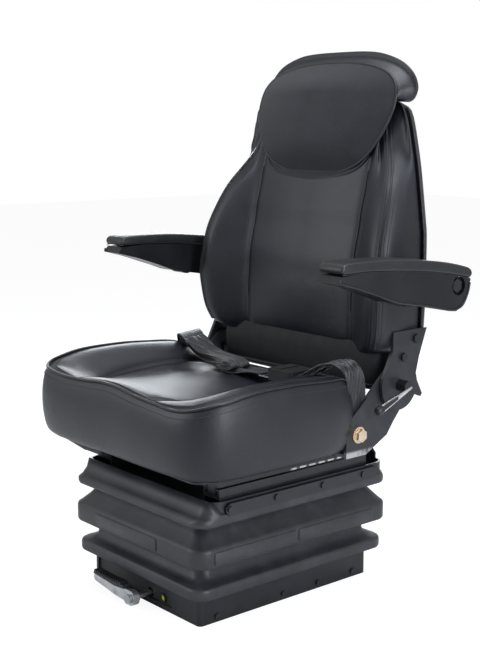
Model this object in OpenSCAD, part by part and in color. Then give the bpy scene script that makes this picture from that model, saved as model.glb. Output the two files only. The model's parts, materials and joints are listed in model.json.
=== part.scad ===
// Tractor suspension seat. Millimetres, +Z up, origin at the bottom centre of the base.
// The front of the seat faces -Y and the occupant's left is +X.
// It is drawn with the suspension at its upper stop and the slide in its middle place.

/* [Base] */
// Width of the base pan
base_w = 300; // [290:1:320]
// Depth of the base pan
base_d = 380; // [370:1:400]
// Height of the base pan walls
base_h = 56; // [50:1:62]
// Thickness of the pressed steel
sheet = 3; // [2:0.5:4]
// Mounting hole spacing across the seat
mount_x = 200; // [180:1:206]
// Mounting hole spacing front to rear
mount_y = 290; // [270:1:310]
// Mounting hole radius
mount_hole_r = 4.5; // [3.5:0.1:5.5]

/* [Suspension] */
// Height of the lower scissor pivot
pivot_low_z = 40; // [36:1:44]
// Height of the underside of the upper tray
tray_z = 190; // [186:1:200]
// Width of a scissor arm
arm_w = 24; // [20:1:26]
// Thickness of a scissor arm
arm_t = 6; // [5:0.5:7]
// Radius of a roller
roller_r = 12; // [10:0.5:13]
// Radius of the pivot shafts
shaft_r = 8; // [6:0.5:9]
// Radius of the damper body
damper_r = 15; // [12:0.5:17]

/* [Upper tray] */
// Half width of the upper tray
tray_x = 179; // [176:0.5:184]
// Front edge of the upper tray
tray_front = 186; // [180:1:190]
// Rear edge of the upper tray
tray_rear = 206; // [200:1:212]
// Height of the tray's side walls above its floor
tray_wall = 18; // [14:1:22]
// Height of the tray's rear wall above its floor
tray_back = 42; // [34:1:46]

/* [Slides] */
// Distance of each slide rail from the middle
rail_x = 150; // [140:1:152]
// Length of the slide rails
rail_len = 330; // [310:1:345]
// Height of the rail bases
rail_base_h = 18; // [16:1:22]

/* [Cushion] */
// Half width of the seat cushion
cushion_x = 248; // [244:1:256]
// Front edge of the seat cushion
cushion_front = 264; // [256:1:272]
// Height of the cushion base board
board_z = 259; // [258:1:264]
// Height of the seat surface above the board
cushion_h = 100; // [90:1:106]
// Rise of the side bolsters
bolster_h = 22; // [14:1:26]

/* [Backrest] */
// Distance of the recliner axis behind the middle
recline_y = 175; // [172:1:180]
// Height of the recliner axis
recline_z = 360; // [356:1:366]
// Half width of the backrest at its widest
back_x = 240; // [234:1:241]
// Height of the top of the backrest
back_top = 842; // [836:1:850]
// Lean of the upper backrest and the headrest posts in degrees
lean = 14; // [12:0.5:15]
// Height of the top of the headrest
head_top = 924; // [915:1:930]
// Half width of the headrest
head_x = 167; // [160:1:172]

/* [Armrests] */
// Inner face of the armrest
arm_in = 262; // [260:1:266]
// Width of the armrest pad
pad_w = 53; // [48:1:58]
// Radius of the armrest height wheel
thumb_r = 20; // [17:0.5:20.5]

/* [Hidden] */
$fn = 48;
run_gap = 0.05;
soft_gap = 0.3;
roll_gap = 1.3;
open_gap = 1.5;
in_y = base_d / 2 - sheet;

pivot_y = base_d / 2 - 45;
arm_len = base_d - 90;
pivot_top_z = tray_z - 22;
arm_a = asin((pivot_top_z - pivot_low_z) / arm_len);
arm_run = arm_len * cos(arm_a);
roller_y = pivot_y - arm_run;
outer_x = base_w / 2 - 27;
inner_x = outer_x - 14;
roller_w = 12;
stub_r = 6;
lower_roller_x = inner_x + arm_t + 2;
upper_roller_x = outer_x + arm_t + 2;
track_t = 3;
track_front = roller_y - 40;
track_len = 60;

spindle_x = 14;
spindle_z = 18;
spindle_r = 5;
lever_y = -base_d / 2 - 40;
lever_t = 11;
carriage_y = 116 - base_d / 2;
bearing_y = carriage_y + 24;
spring_x = 45;
spring_r = 8;
wire_r = 1.6;
spring_start = carriage_y + 22;
spring_end = pivot_y - 73;
horn_z = spindle_z;
link_slot = 44;
horn_r = 4;

damper_x = 75;
damper_y0 = 85 - base_d / 2;
damper_z0 = 30;
damper_y1 = pivot_y - 35;
damper_z1 = tray_z - 30;
damper_len = norm([damper_y1 - damper_y0, damper_z1 - damper_z0]);
damper_a = atan2(damper_z1 - damper_z0, damper_y1 - damper_y0);
rod_eye_gap = 2.4;

win_x0 = 12 - base_w / 2;
win_x1 = base_w / 2 - 74;
win_z0 = 9;
win_z1 = 49;
bezel_x = 49;
bezel_z = 18.5;
bezel_r = 7;
bezel_bore = 5.2;
screw_ys = base_d * [-0.403, -0.024, 0.189, 0.411];
strip_ys = [-154, -56, 48, 144];

floor_z = tray_z + sheet;
rail_z = floor_z + rail_base_h + sheet;
rail_t = 2.2;
rail_hw = 20;
rail_h = 14;
upper_rail_z = rail_z + rail_h + 3;
pan_z = board_z - 3;
rib_z = upper_rail_z + 3;
cushion_z = board_z + 9;
seat_z = cushion_z + cushion_h;
cushion_mid = 48;
cushion_back = 95;
cushion_rear_x = 217;
bracket_x = 222;
bracket_t = 6;
plate_x = bracket_x + bracket_t + 2;
lever_x = plate_x + bracket_t + 5;
anchor_y = 85;
anchor_z = 287;
plate_bolt = [182, 407];

back_rear = 254;
back_base = 410;
post_x = 70;
post_r = 6;
post_y = 238;
guide_r = 9;
tube_y = 212;
tube_z = 436;
tube_r = 11;
arm_pivot = [229, 532];
arm_pin_r = 8;
casing_w = pad_w - 6;
thumb_y = 116;
thumb_z = 527;

module on_side(s) {
  if (s > 0) children();
  else mirror([1, 0, 0]) children();
}
module both() {
  children();
  mirror([1, 0, 0]) children();
}
// A flat shape in Y and Z, drawn out along +X from x0.
module from_side(x0, t) translate([x0, 0, 0]) rotate([90, 0, 90]) linear_extrude(t) children();
// A flat shape in X and Z, drawn out along +Y from y0.
module from_front(y0, t) translate([0, y0 + t, 0]) rotate([90, 0, 0]) linear_extrude(t) children();
module rod_x(x0, x1, y, z, r) translate([x0, y, z]) rotate([0, 90, 0]) cylinder(h = x1 - x0, r = r);
module rod_y(y0, y1, x, z, r) translate([x, y1, z]) rotate([90, 0, 0]) cylinder(h = y1 - y0, r = r);
module rounded(w, d, r) {
  square([w - 2 * r, d], center = true);
  square([w, d - 2 * r], center = true);
  for (x = [-1, 1], y = [-1, 1]) translate([x * (w / 2 - r), y * (d / 2 - r)]) circle(r);
}
module plate(x0, x1, y0, y1, z, t, r) {
  translate([(x0 + x1) / 2, (y0 + y1) / 2, z]) linear_extrude(t) rounded(x1 - x0, y1 - y0, r);
}

// Suspension base

// A C-shaped track that a roller runs in, between the heights low and high.
module track(x0, x1, z, low, high) {
  translate([x0, track_front, low]) cube([x1 - x0 + track_t, track_len, z - roller_r - roll_gap - low]);
  translate([x0, track_front, z + roller_r + roll_gap]) {
    cube([x1 - x0 + track_t, track_len, high - z - roller_r - roll_gap]);
  }
  translate([x1, track_front, low]) cube([track_t, track_len, high - low]);
}
// Two ears with a stud between them, which carry one end of the damper.
module damper_ears(y, z, base_z) {
  for (s = [-1, 1]) from_side(damper_x + s * 12 - 2, 4) {
    translate([y, z]) circle(10);
    translate([y - 10, min(z, base_z)]) square([20, abs(base_z - z)]);
  }
  rod_x(damper_x - 13, damper_x + 13, y, z, stub_r);
}

module base_tray() color("#20242b") difference() {
  union() {
    both() track(lower_roller_x - 1, lower_roller_x + roller_w + 1, pivot_low_z, sheet - 0.5,
      pivot_low_z + roller_r + roll_gap + track_t);
    damper_ears(damper_y0, damper_z0, sheet - 0.5);
    difference() {
      linear_extrude(base_h) rounded(base_w, base_d, 8);
      translate([0, 0, sheet]) linear_extrude(base_h) rounded(base_w - 2 * sheet, base_d - 2 * sheet, 5);
    }
    both() from_side(outer_x + arm_t + 2, 5) {
      translate([pivot_y - 16, sheet / 2]) square([32, pivot_low_z - sheet / 2]);
      translate([pivot_y, pivot_low_z]) circle(16);
    }
  }
  translate([win_x0, -base_d / 2 - 1, win_z0]) cube([win_x1 - win_x0, sheet + 2, win_z1 - win_z0]);
  for (x = [-1, 1], y = [-1, 1]) {
    translate([x * mount_x / 2, y * mount_y / 2, -1]) cylinder(h = sheet + 2, r = mount_hole_r);
  }
  for (y = screw_ys) rod_x(-base_w, base_w, y, 10, 2.5 + run_gap);
  rod_x(-base_w / 2 + sheet + 1, base_w / 2 - sheet - 1, pivot_y, pivot_low_z, shaft_r + run_gap);
}

module front_panel() color("#101114") difference() {
  translate([win_x0 - 4, -in_y, sheet + 0.5]) cube([win_x1 - win_x0 + 12, 3, win_z1 + 1]);
  rod_y(-base_d, 0, spindle_x, spindle_z, spindle_r + 3);
  rod_y(-base_d, 0, bezel_x, bezel_z, bezel_r + run_gap);
}

module base_screws() color("#1b1d20") both() for (y = screw_ys) {
  rod_x(base_w / 2 - 6, base_w / 2, y, 10, 2.5);
  rod_x(base_w / 2, base_w / 2 + 2.8, y, 10, 5.5);
}

module travel_stops() color("#2a2a2b") both() {
  z0 = pivot_low_z - roller_r - roll_gap;
  for (y = [track_front, roller_y + roller_r + 0.3]) {
    translate([lower_roller_x, y, z0]) cube([roller_w, 6, 2 * (roller_r + roll_gap)]);
  }
}

module lower_pivot_shaft() color("#b9bcbe") {
  rod_x(-outer_x - arm_t - 10, outer_x + arm_t + 10, pivot_y, pivot_low_z, shaft_r);
}

module spindle_bearing() color("#3b3e42") difference() {
  translate([spindle_x - 14, bearing_y, sheet]) cube([28, 10, 27]);
  rod_y(bearing_y - 1, bearing_y + 11, spindle_x, spindle_z, spindle_r + run_gap);
}

module circle_at(y, z, r) translate([y, z]) circle(r);

// Weight adjuster

module weight_lever() color("#c9ccce") difference() {
  union() {
    rod_y(lever_y, lever_y + lever_t, spindle_x, spindle_z, 13);
    translate([spindle_x, 0, 0]) from_front(lever_y + 2, lever_t - 4) {
      polygon([[0, 7], [-44, 9], [-107, 18], [-110, 24], [-107, 31], [-44, 27], [0, 30]]);
    }
  }
  rod_y(lever_y - 1, lever_y + lever_t + 1, spindle_x, spindle_z, spindle_r + run_gap);
}
module weight_lever_grip() color("#1a1a1b") {
  translate([spindle_x, 0, 0]) from_front(lever_y - 1, lever_t + 2) {
    polygon([[-106.5, 31.1], [-44, 27.1], [-18, 29], [-18, 35], [-44, 34], [-104, 39]]);
  }
  for (i = [0:12]) {
    translate([spindle_x - 100 + i * 6, lever_y - 2, 34.5 - 1.2 * sin(i * 14)]) cube([3, lever_t + 4, 4.5]);
  }
}
module weight_spindle() color("#a9acae") {
  rod_y(lever_y - 0.5, bearing_y + 8, spindle_x, spindle_z, spindle_r);
  rod_y(lever_y - 6.5, lever_y - 0.5, spindle_x, spindle_z, 8.5);
  rod_y(lever_y + lever_t + 0.5, lever_y + lever_t + 5, spindle_x, spindle_z, 8);
}
module spring_carriage() color("#55585c") {
  difference() {
    translate([-spring_x - 12, carriage_y - 6, spindle_z - 9]) cube([2 * spring_x + 24, 12, 18]);
    rod_y(carriage_y - 10, carriage_y + 10, spindle_x, spindle_z, spindle_r + run_gap);
  }
  for (x = [-spring_x, spring_x]) rod_y(carriage_y + 6, spring_start + 8, x, spindle_z, spring_r - wire_r - 0.2);
}
// One close-wound tension spring along Y, swept from rings of wire.
spring_turns = 10;
ring_steps = 16;
wire_sides = 5;
function coil_point(i) = let (a = 360 * i / ring_steps, t = i / (spring_turns * ring_steps))
  [spring_r * cos(a), spring_start + 2 + (spring_end - spring_start - 4) * t, spring_r * sin(a)];
function wire_point(i, k) = let (a = 360 * i / ring_steps, b = 360 * k / wire_sides, p = coil_point(i))
  [p[0] + wire_r * cos(b) * cos(a), p[1] + wire_r * sin(b), p[2] + wire_r * cos(b) * sin(a)];
module coil_spring() {
  n = spring_turns * ring_steps;
  points = [for (i = [0:n], k = [0:wire_sides - 1]) wire_point(i, k)];
  skin = [for (i = [0:n - 1], k = [0:wire_sides - 1]) let (
      a = i * wire_sides, b = (i + 1) * wire_sides, m = (k + 1) % wire_sides)
    each [[a + k, b + k, b + m], [a + k, b + m, a + m]]];
  start_cap = [for (k = [0:wire_sides - 1]) k];
  end_cap = [for (k = [wire_sides - 1:-1:0]) n * wire_sides + k];
  polyhedron(points, concat([start_cap], skin, [end_cap]));
}
module tension_springs() color("#c0c3c5") {
  for (x = [-spring_x, spring_x]) translate([x, 0, spindle_z]) coil_spring();
}
module spring_links() color("#7d8185") for (x = [-spring_x, spring_x]) difference() {
  union() {
    rod_y(spring_end - 8, spring_end + 1, x, spindle_z, spring_r - wire_r - 0.2);
    translate([x - 2.5, spring_end, horn_z - 8]) cube([5, pivot_y - spring_end + link_slot - 4, 16]);
  }
  translate([x - 4, pivot_y - 8, horn_z - 5.5]) cube([8, link_slot, 11]);
}
module indicator_bezel() color("#17181a") difference() {
  union() {
    rod_y(-in_y - 2, -in_y + 12, bezel_x, bezel_z, bezel_r);
    rod_y(-in_y - 2, -in_y, bezel_x, bezel_z, bezel_r + 2);
  }
  rod_y(-in_y - 3, -in_y + 13, bezel_x, bezel_z, bezel_bore);
}
module indicator_flag() color("#c9cf3a") {
  rod_y(-in_y + 0.5, -in_y + 20, bezel_x, bezel_z, bezel_bore - run_gap);
}

// Damper

module along_damper() {
  translate([damper_x, damper_y0, damper_z0]) rotate([damper_a - 90, 0, 0]) children();
}
module damper_tube() color("#2b2d30") along_damper() difference() {
  union() {
    translate([0, 0, 14]) cylinder(h = damper_len * 0.58 - 14, r = damper_r);
    translate([-8.5, 0, 0]) rotate([0, 90, 0]) cylinder(h = 17, r = 11);
    translate([-6, -8, 0]) cube([12, 16, 16]);
  }
  translate([-10, 0, 0]) rotate([0, 90, 0]) cylinder(h = 20, r = stub_r + run_gap);
  translate([0, 0, damper_len * 0.3]) cylinder(h = damper_len, r = 5 + run_gap);
}
module damper_rod() color("#c9ccce") along_damper() difference() {
  union() {
    translate([0, 0, damper_len * 0.45]) cylinder(h = damper_len * 0.55 - 12, r = 5);
    translate([-8.5, 0, damper_len]) rotate([0, 90, 0]) cylinder(h = 17, r = 13);
  }
  translate([-10, 0, damper_len]) rotate([0, 90, 0]) cylinder(h = 20, r = stub_r + rod_eye_gap);
}

// Scissor linkage

module arm(x0, y, z, slope, mid_bore) {
  translate([x0, y, z]) rotate([slope, 0, 0]) rotate([90, 0, 90]) linear_extrude(arm_t) difference() {
    union() {
      translate([-arm_len, -arm_w / 2]) square([arm_len, arm_w]);
      circle(arm_w / 2 + 2);
      translate([-arm_len, 0]) circle(arm_w / 2);
    }
    translate([-arm_len / 2, 0]) circle(mid_bore);
  }
}
module stub(x0, x1, y, z) rod_x(x0, x1, y, z, stub_r);
mid_y = pivot_y - arm_run / 2;
mid_z = (pivot_low_z + pivot_top_z) / 2;
module scissor_outer() color("#34373b") difference() {
  union() {
    both() {
      arm(outer_x, pivot_y, pivot_low_z, -arm_a, 3);
      rod_x(inner_x - 4, outer_x + 1, mid_y, mid_z, 7);
      stub(outer_x + arm_t - 1, upper_roller_x + roller_w + 0.5, roller_y, pivot_top_z);
    }
    rod_x(-outer_x - 1, outer_x + 1, pivot_y, pivot_low_z, shaft_r + 5);
    for (x = [-spring_x, spring_x]) for (s = [-1, 1]) from_side(x + s * 8 - 2, 4) {
      circle_at(pivot_y, horn_z, 8);
      translate([pivot_y - 8, horn_z]) square([16, pivot_low_z - horn_z]);
    }
    for (x = [-spring_x, spring_x]) rod_x(x - 12, x + 12, pivot_y, horn_z, horn_r);
  }
  rod_x(-outer_x - arm_t - 1, outer_x + arm_t + 1, pivot_y, pivot_low_z, shaft_r + run_gap);
}
module scissor_inner() color("#34373b") difference() {
  union() {
    both() {
      arm(inner_x, pivot_y, pivot_top_z, arm_a, 7 + open_gap);
      stub(inner_x + arm_t - 1, lower_roller_x + roller_w + 0.5, roller_y, pivot_low_z);
    }
    rod_x(-inner_x - 1, inner_x + 1, pivot_y, pivot_top_z, shaft_r + 5);
  }
  rod_x(-inner_x - arm_t - 1, inner_x + arm_t + 1, pivot_y, pivot_top_z, shaft_r + run_gap);
}
module roller_at(x, y, z) difference() {
  rod_x(x, x + roller_w, y, z, roller_r);
  rod_x(x - 1, x + roller_w + 1, y, z, stub_r + run_gap);
}
module lower_rollers() color("#e2e2dc") both() roller_at(lower_roller_x, roller_y, pivot_low_z);
module upper_rollers() color("#e2e2dc") both() roller_at(upper_roller_x, roller_y, pivot_top_z);

// Bellows: rings of a rounded rectangle, each given by its half width, its front and
// rear reach, its height, how far the front of the ring is lifted, and its corner radius.

wall = 2.5;
ring_n = 48;
fold_r = 26;
foot_x = base_w / 2 + 0.4 + wall;
foot_y = base_d / 2 + 0.4 + wall;
head_ring_x = tray_x + 0.4 + wall;
folds = [
  [foot_x, foot_y, foot_y, base_h - 10, 0, 11], [157, 197, 197, base_h - 8, 0, 14],
  [168, 206, 206, base_h - 3, 0, 22], [175.5, 212, 212, base_h + 2, 0, fold_r],
  [175.5, 212, 212, base_h + 14, 0, fold_r], [172, 209, 209, base_h + 18, 0, fold_r],
  [156, 194, 194, base_h + 36, 0, fold_r], [156, 194, 194, base_h + 40, 0, fold_r],
  [178, 212, 212, base_h + 50, 0, fold_r], [182, 215.5, 215.5, base_h + 53, 0, fold_r],
  [182, 215.5, 215.5, base_h + 79, 0, fold_r], [178, 212, 212, base_h + 83, 0, fold_r],
  [160, 195, 197, base_h + 103, 0, fold_r], [160, 195, 197, base_h + 107, 0, fold_r],
  [178, 209, 211, base_h + 118, 0, fold_r], [head_ring_x, 212.5, 214, base_h + 121, 0, fold_r],
  [head_ring_x, 212.5, 214, tray_z - 8, 0, fold_r],
  [head_ring_x, tray_front + 8, tray_rear + 4, tray_z - 4, 3, fold_r],
  [head_ring_x, tray_front + 0.4 + wall, tray_rear + 0.4 + wall, tray_z + 1, 23, fold_r]
];
function corner(f, inset, k) = let (
    a = 360 * (k + 0.5) / ring_n, r = f[5] - inset, sx = sign(cos(a)), sy = sign(sin(a)),
    hx = f[0] - inset, hy = (sy < 0 ? f[1] : f[2]) - inset)
  [sx * (hx - r) + r * cos(a), sy * (hy - r) + r * sin(a)];
function ring_point(f, inset, k) = let (
    p = corner(f, inset, k), s = min(1, max(0, (-p[1] - f[1] + 26) / 26)))
  [p[0], p[1], f[3] + f[4] * s];
module bellows() color("#2e3033") {
  m = len(folds);
  outer = [for (j = [0:m - 1], k = [0:ring_n - 1]) ring_point(folds[j], 0, k)];
  inner = [for (j = [m - 1:-1:0], k = [0:ring_n - 1]) ring_point(folds[j], wall, k)];
  loops = 2 * m;
  faces = [for (j = [0:loops - 1], k = [0:ring_n - 1]) let (
      a = j * ring_n, b = ((j + 1) % loops) * ring_n, n = (k + 1) % ring_n)
    each [[a + k, b + k, a + n], [a + n, b + k, b + n]]];
  polyhedron(concat(outer, inner), faces);
}

// Upper tray and slides

tray_corner = 24;
tray_top = tray_z + tray_wall + sheet;
back_step = tray_x - tray_corner;
module upper_tray() color("#1a1c20") difference() {
  union() {
    plate(-tray_x, tray_x, -tray_front, tray_rear, tray_z, sheet, tray_corner);
    difference() {
      plate(-tray_x, tray_x, -tray_front, tray_rear, tray_z - 6, tray_top - tray_z + 6, tray_corner);
      plate(sheet - tray_x, tray_x - sheet, sheet - tray_front, tray_rear - sheet, tray_z - 7,
        tray_top - tray_z + 8, tray_corner - sheet);
    }
    from_front(tray_rear - sheet, sheet) polygon([
      [-back_step, tray_top - 4], [back_step, tray_top - 4], [back_step, tray_top + 9],
      [back_step - 12, tray_z + tray_back], [12 - back_step, tray_z + tray_back], [-back_step, tray_top + 9]]);
    both() track(upper_roller_x - 1, upper_roller_x + roller_w + 1, pivot_top_z,
      pivot_top_z - roller_r - roll_gap - track_t, tray_z + 0.5);
    damper_ears(damper_y1, damper_z1, tray_z + 0.5);
    both() from_side(inner_x + arm_t + 1, 5) {
      circle_at(pivot_y, pivot_top_z, 15);
      translate([pivot_y - 15, pivot_top_z]) square([30, tray_z - pivot_top_z + 1]);
    }
  }
  rod_x(-inner_x - 30, inner_x + 30, pivot_y, pivot_top_z, shaft_r + run_gap);
}
module upper_pivot_shaft() color("#b9bcbe") {
  rod_x(-inner_x - arm_t - 8, inner_x + arm_t + 8, pivot_y, pivot_top_z, shaft_r);
}
strip_x = head_ring_x + 0.4;
strip_front = -tray_front + 24;
strip_rear = tray_rear - 22;
module clamp_strips() color("#2a2c30") both() difference() {
  union() {
    from_side(strip_x, 2.2) polygon([
      [strip_front + 8, tray_z - 3], [strip_rear - 8, tray_z - 3], [strip_rear, tray_z + 4],
      [strip_rear, tray_z + 12], [strip_rear - 8, tray_z + 17], [strip_front + 8, tray_z + 17],
      [strip_front, tray_z + 12], [strip_front, tray_z + 4]]);
    translate([tray_x, strip_front, tray_z + 3]) cube([strip_x + 1 - tray_x, strip_rear - strip_front, 9]);
  }
  for (y = strip_ys) rod_x(0, 2 * tray_x, y, tray_z + 8, 2.5 + run_gap);
}
module tray_screws() color("#1b1d20") both() for (y = strip_ys) {
  rod_x(tray_x, strip_x + 2.2, y, tray_z + 8, 2.5);
  rod_x(strip_x + 2.2, strip_x + 5, y, tray_z + 8, 5.5);
}

rail_base_holes = [-130, -60, 10, 80, 140];
module rail_bases() color("#b4b7b9") both() difference() {
  translate([rail_x, rail_len / 2, floor_z]) rotate([90, 0, 0]) linear_extrude(rail_len) polygon([
    [-28, 0], [-18, 0], [-18, rail_base_h], [18, rail_base_h], [18, 0], [25.5, 0], [25.5, sheet],
    [21, sheet], [21, rail_base_h + sheet], [-21, rail_base_h + sheet], [-21, sheet], [-28, sheet]]);
  for (y = rail_base_holes) translate([rail_x, y, 0]) cylinder(h = 400, r = 4);
}
module lower_rail(s) color("#c2c5c7") on_side(s) {
  translate([rail_x, rail_len / 2, rail_z]) rotate([90, 0, 0]) linear_extrude(rail_len) polygon([
    [-rail_hw, 0], [rail_hw, 0], [rail_hw, rail_h], [11, rail_h], [11, rail_h - 5], [13, rail_h - 5],
    [13, rail_h - rail_t], [rail_hw - rail_t, rail_h - rail_t], [rail_hw - rail_t, rail_t],
    [rail_t - rail_hw, rail_t], [rail_t - rail_hw, rail_h - rail_t], [-13, rail_h - rail_t],
    [-13, rail_h - 5], [-11, rail_h - 5], [-11, rail_h], [-rail_hw, rail_h]]);
}
upper_rail_rear = 125;
module upper_rail(s) color("#c2c5c7") on_side(s) {
  l = rail_len / 2 + upper_rail_rear;
  translate([rail_x, upper_rail_rear, rail_z]) rotate([90, 0, 0]) linear_extrude(l) {
    translate([-17, rail_t + 0.5]) square([34, 2.2]);
    for (x = [-17, 15]) translate([x, rail_t + 0.5]) square([2, rail_h - 2 * rail_t - 1]);
    translate([-9, rail_t + 0.5]) square([18, rail_h - rail_t + 3]);
    translate([-19, rail_h + 3]) square([38, 3]);
  }
}

// Seat frame

module slide_lever() color("#1c1d1f") {
  hull() {
    translate([-222, -200, 245]) rotate([0, 90, -6]) cylinder(h = 3, r = 5, $fn = 32);
    translate([-150, -204, 239]) rotate([0, 90, 0]) cylinder(h = 3, r = 5.5, $fn = 32);
    translate([-200, -190, 241]) rotate([0, 90, 0]) cylinder(h = 3, r = 4.5, $fn = 32);
  }
  plate(-156, -98, -209, -196, rib_z + 2, 6, 5);
  plate(-112, -98, -209, -136, rib_z + 2, 6, 5);
  translate([-105, -143, rib_z + 1]) cylinder(h = pan_z - rib_z - 1.3, r = 6);
}
module seat_pan() color("#1d1f22") {
  plate(-205, 205, -235, 100, pan_z, 3, 20);
  both() translate([rail_x - 19, -rail_len / 2, rib_z]) cube([38, rail_len, pan_z - rib_z + 0.5]);
}
module cushion_board() color("#141517") {
  plate(26 - cushion_x, cushion_x - 26, 52 - cushion_front, cushion_mid, board_z, 9, 40);
  plate(4 - cushion_rear_x, cushion_rear_x - 4, 0, 82, board_z, 9, 20);
}

module seat_cushion() color("#26272b") {
  hull() {
    plate(-cushion_x, cushion_x, -cushion_front, cushion_mid, cushion_z + 24, 50, 60);
    plate(-cushion_x + 12, cushion_x - 12, -cushion_front + 12, cushion_mid, cushion_z, 10, 60);
    plate(-cushion_x + 22, cushion_x - 22, -cushion_front + 22, cushion_mid, seat_z - 10, 10, 50);
  }
  hull() {
    plate(-cushion_rear_x, cushion_rear_x, 0, cushion_back, cushion_z, seat_z - cushion_z - 10, 30);
    plate(12 - cushion_rear_x, cushion_rear_x - 12, 0, cushion_back - 10, seat_z - 10, 10, 30);
  }
  both() hull() {
    plate(176, cushion_x - 16, -cushion_front + 70, cushion_mid - 6, seat_z - 20, 20 + bolster_h, 24);
    plate(160, cushion_x - 1, -cushion_front + 50, cushion_mid, seat_z - 20, 12, 34);
  }
}

module recliner_bracket(s) color("#303236") on_side(s) difference() {
  union() {
    from_side(bracket_x, bracket_t) {
      circle_at(recline_y, recline_z, 38);
      polygon([[58, pan_z - 6], [58, 308], [88, 332], [recline_y - 30, recline_z + 24],
        [recline_y + 28, recline_z - 25], [170, 297], [154, 276], [104, pan_z - 6]]);
    }
    translate([150 + 22, 60, pan_z - 6]) cube([bracket_x - 170, 40, 6]);
  }
  rod_x(0, 400, recline_y, recline_z, 10 + run_gap);
  rod_x(200, 400, anchor_y, anchor_z, 7 + run_gap);
}
module recliner_shafts() color("#8b8e91") {
  rod_x(bracket_x - 3, lever_x + 16, recline_y, recline_z, 10);
  mirror([1, 0, 0]) {
    rod_x(bracket_x - 3, plate_x + bracket_t, recline_y, recline_z, 10);
    rod_x(plate_x + bracket_t + 0.5, plate_x + bracket_t + 5, recline_y, recline_z, 14);
    rod_x(plate_x + bracket_t - 1, plate_x + bracket_t + 1, recline_y, recline_z, 10);
  }
}
module anchor_bolts() color("#c8a45a") both() {
  rod_x(cushion_rear_x + 0.5, bracket_x + bracket_t + 0.5, anchor_y, anchor_z, 7);
  rod_x(bracket_x + bracket_t, bracket_x + bracket_t + 2.5, anchor_y, anchor_z, 14);
  translate([bracket_x + bracket_t + 2.5, anchor_y, anchor_z]) rotate([0, 90, 0]) {
    cylinder(h = 8, r = 11, $fn = 6);
  }
}
module recliner_lever() color("#c6c9cb") difference() {
  union() {
    rod_x(lever_x, lever_x + 14, recline_y, recline_z, 16);
    from_side(lever_x + 3, 9) {
      polygon([[recline_y, recline_z + 12], [recline_y + 10, recline_z - 10], [recline_y - 20, recline_z - 20],
        [recline_y - 68, recline_z - 46], [recline_y - 76, recline_z - 44], [recline_y - 80, recline_z - 36],
        [recline_y - 76, recline_z - 30]]);
    }
  }
  rod_x(lever_x - 1, lever_x + 20, recline_y, recline_z, 10 + run_gap);
}

// Lap belt, laid fastened across the rear of the cushion. Each strap is a row of
// thin slabs between the places that it passes over.

belt_w = 48;
belt_t = 2;
belt_y = 12;
belt_z = seat_z + 2;
side_top = seat_z + bolster_h + soft_gap;
tongue_x = 74;
buckle_x = 86;
buckle_len = 58;
module slab(x0, z0, x1, z1) hull() {
  translate([x0, belt_y, z0]) cube([1, belt_w, belt_t]);
  translate([x1, belt_y, z1]) cube([1, belt_w, belt_t]);
}
module belt_side(reach) {
  x0 = cushion_rear_x + 1;
  translate([x0, anchor_y - 24, anchor_z + 12]) cube([belt_t, belt_w, side_top - anchor_z - 10]);
  translate([x0, anchor_y - 12, anchor_z - 14]) difference() {
    cube([belt_t, 24, 27]);
    translate([-1, 12, 14]) rotate([0, 90, 0]) cylinder(h = 9, r = 7 + run_gap);
  }
  hull() {
    translate([x0, anchor_y - 24, side_top]) cube([belt_t, belt_w, belt_t]);
    translate([190, belt_y, side_top]) cube([2, belt_w, belt_t]);
  }
  slab(190, side_top, 158, side_top);
  slab(158, side_top, reach, belt_z);
}
module belt_left() color("#202126") belt_side(buckle_x + buckle_len);
module belt_right() color("#202126") mirror([1, 0, 0]) {
  belt_side(120);
  slab(120, belt_z, -tongue_x + 14, belt_z);
}
module belt_tongue() color("#d5d7d9") {
  translate([tongue_x - 13, belt_y, belt_z]) cube([buckle_x - tongue_x + 13, belt_w, 2.5]);
}
module belt_buckle() color("#18191b") difference() {
  plate(buckle_x, buckle_x + buckle_len, belt_y - 4, belt_y + belt_w + 4, seat_z + soft_gap, 20, 5);
  translate([buckle_x + 8, belt_y + 2, seat_z + 10]) cube([18, belt_w - 4, 20]);
}
module buckle_button() color("#2a2b2e") {
  translate([buckle_x + 8 + soft_gap, belt_y + 2 + soft_gap, seat_z + 14]) {
    cube([18 - 2 * soft_gap, belt_w - 4 - 2 * soft_gap, 8]);
  }
}

// Backrest, drawn upright from its recliner axis

module recliner_plate(s) color("#3a3c41") on_side(s) difference() {
  union() {
    rod_x(plate_x, plate_x + bracket_t, recline_y, recline_z, 43);
    from_side(plate_x, bracket_t) polygon([[recline_y - 38, recline_z + 20], [157, 420], [157, 452],
      [240, 452], [222, 404], [recline_y + 40, recline_z + 16], [recline_y, recline_z - 4]]);
    from_side(plate_x, bracket_t) polygon([[recline_y + 10, recline_z - 10], [recline_y + 34, recline_z + 20],
      [232, 338], [228, 333]]);
  }
  rod_x(0, 400, recline_y, recline_z, 10 + run_gap);
  for (p = [plate_bolt, [tube_y, tube_z]]) rod_x(0, 400, p[0], p[1], 5 + run_gap);
}
module plate_bolts() color("#b5b8ba") both() for (p = [plate_bolt, [tube_y, tube_z]]) {
  rod_x(plate_x, plate_x + bracket_t, p[0], p[1], 5);
  translate([plate_x + bracket_t, p[0], p[1]]) rotate([0, 90, 0]) cylinder(h = 5, r = 8, $fn = 6);
}

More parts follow.
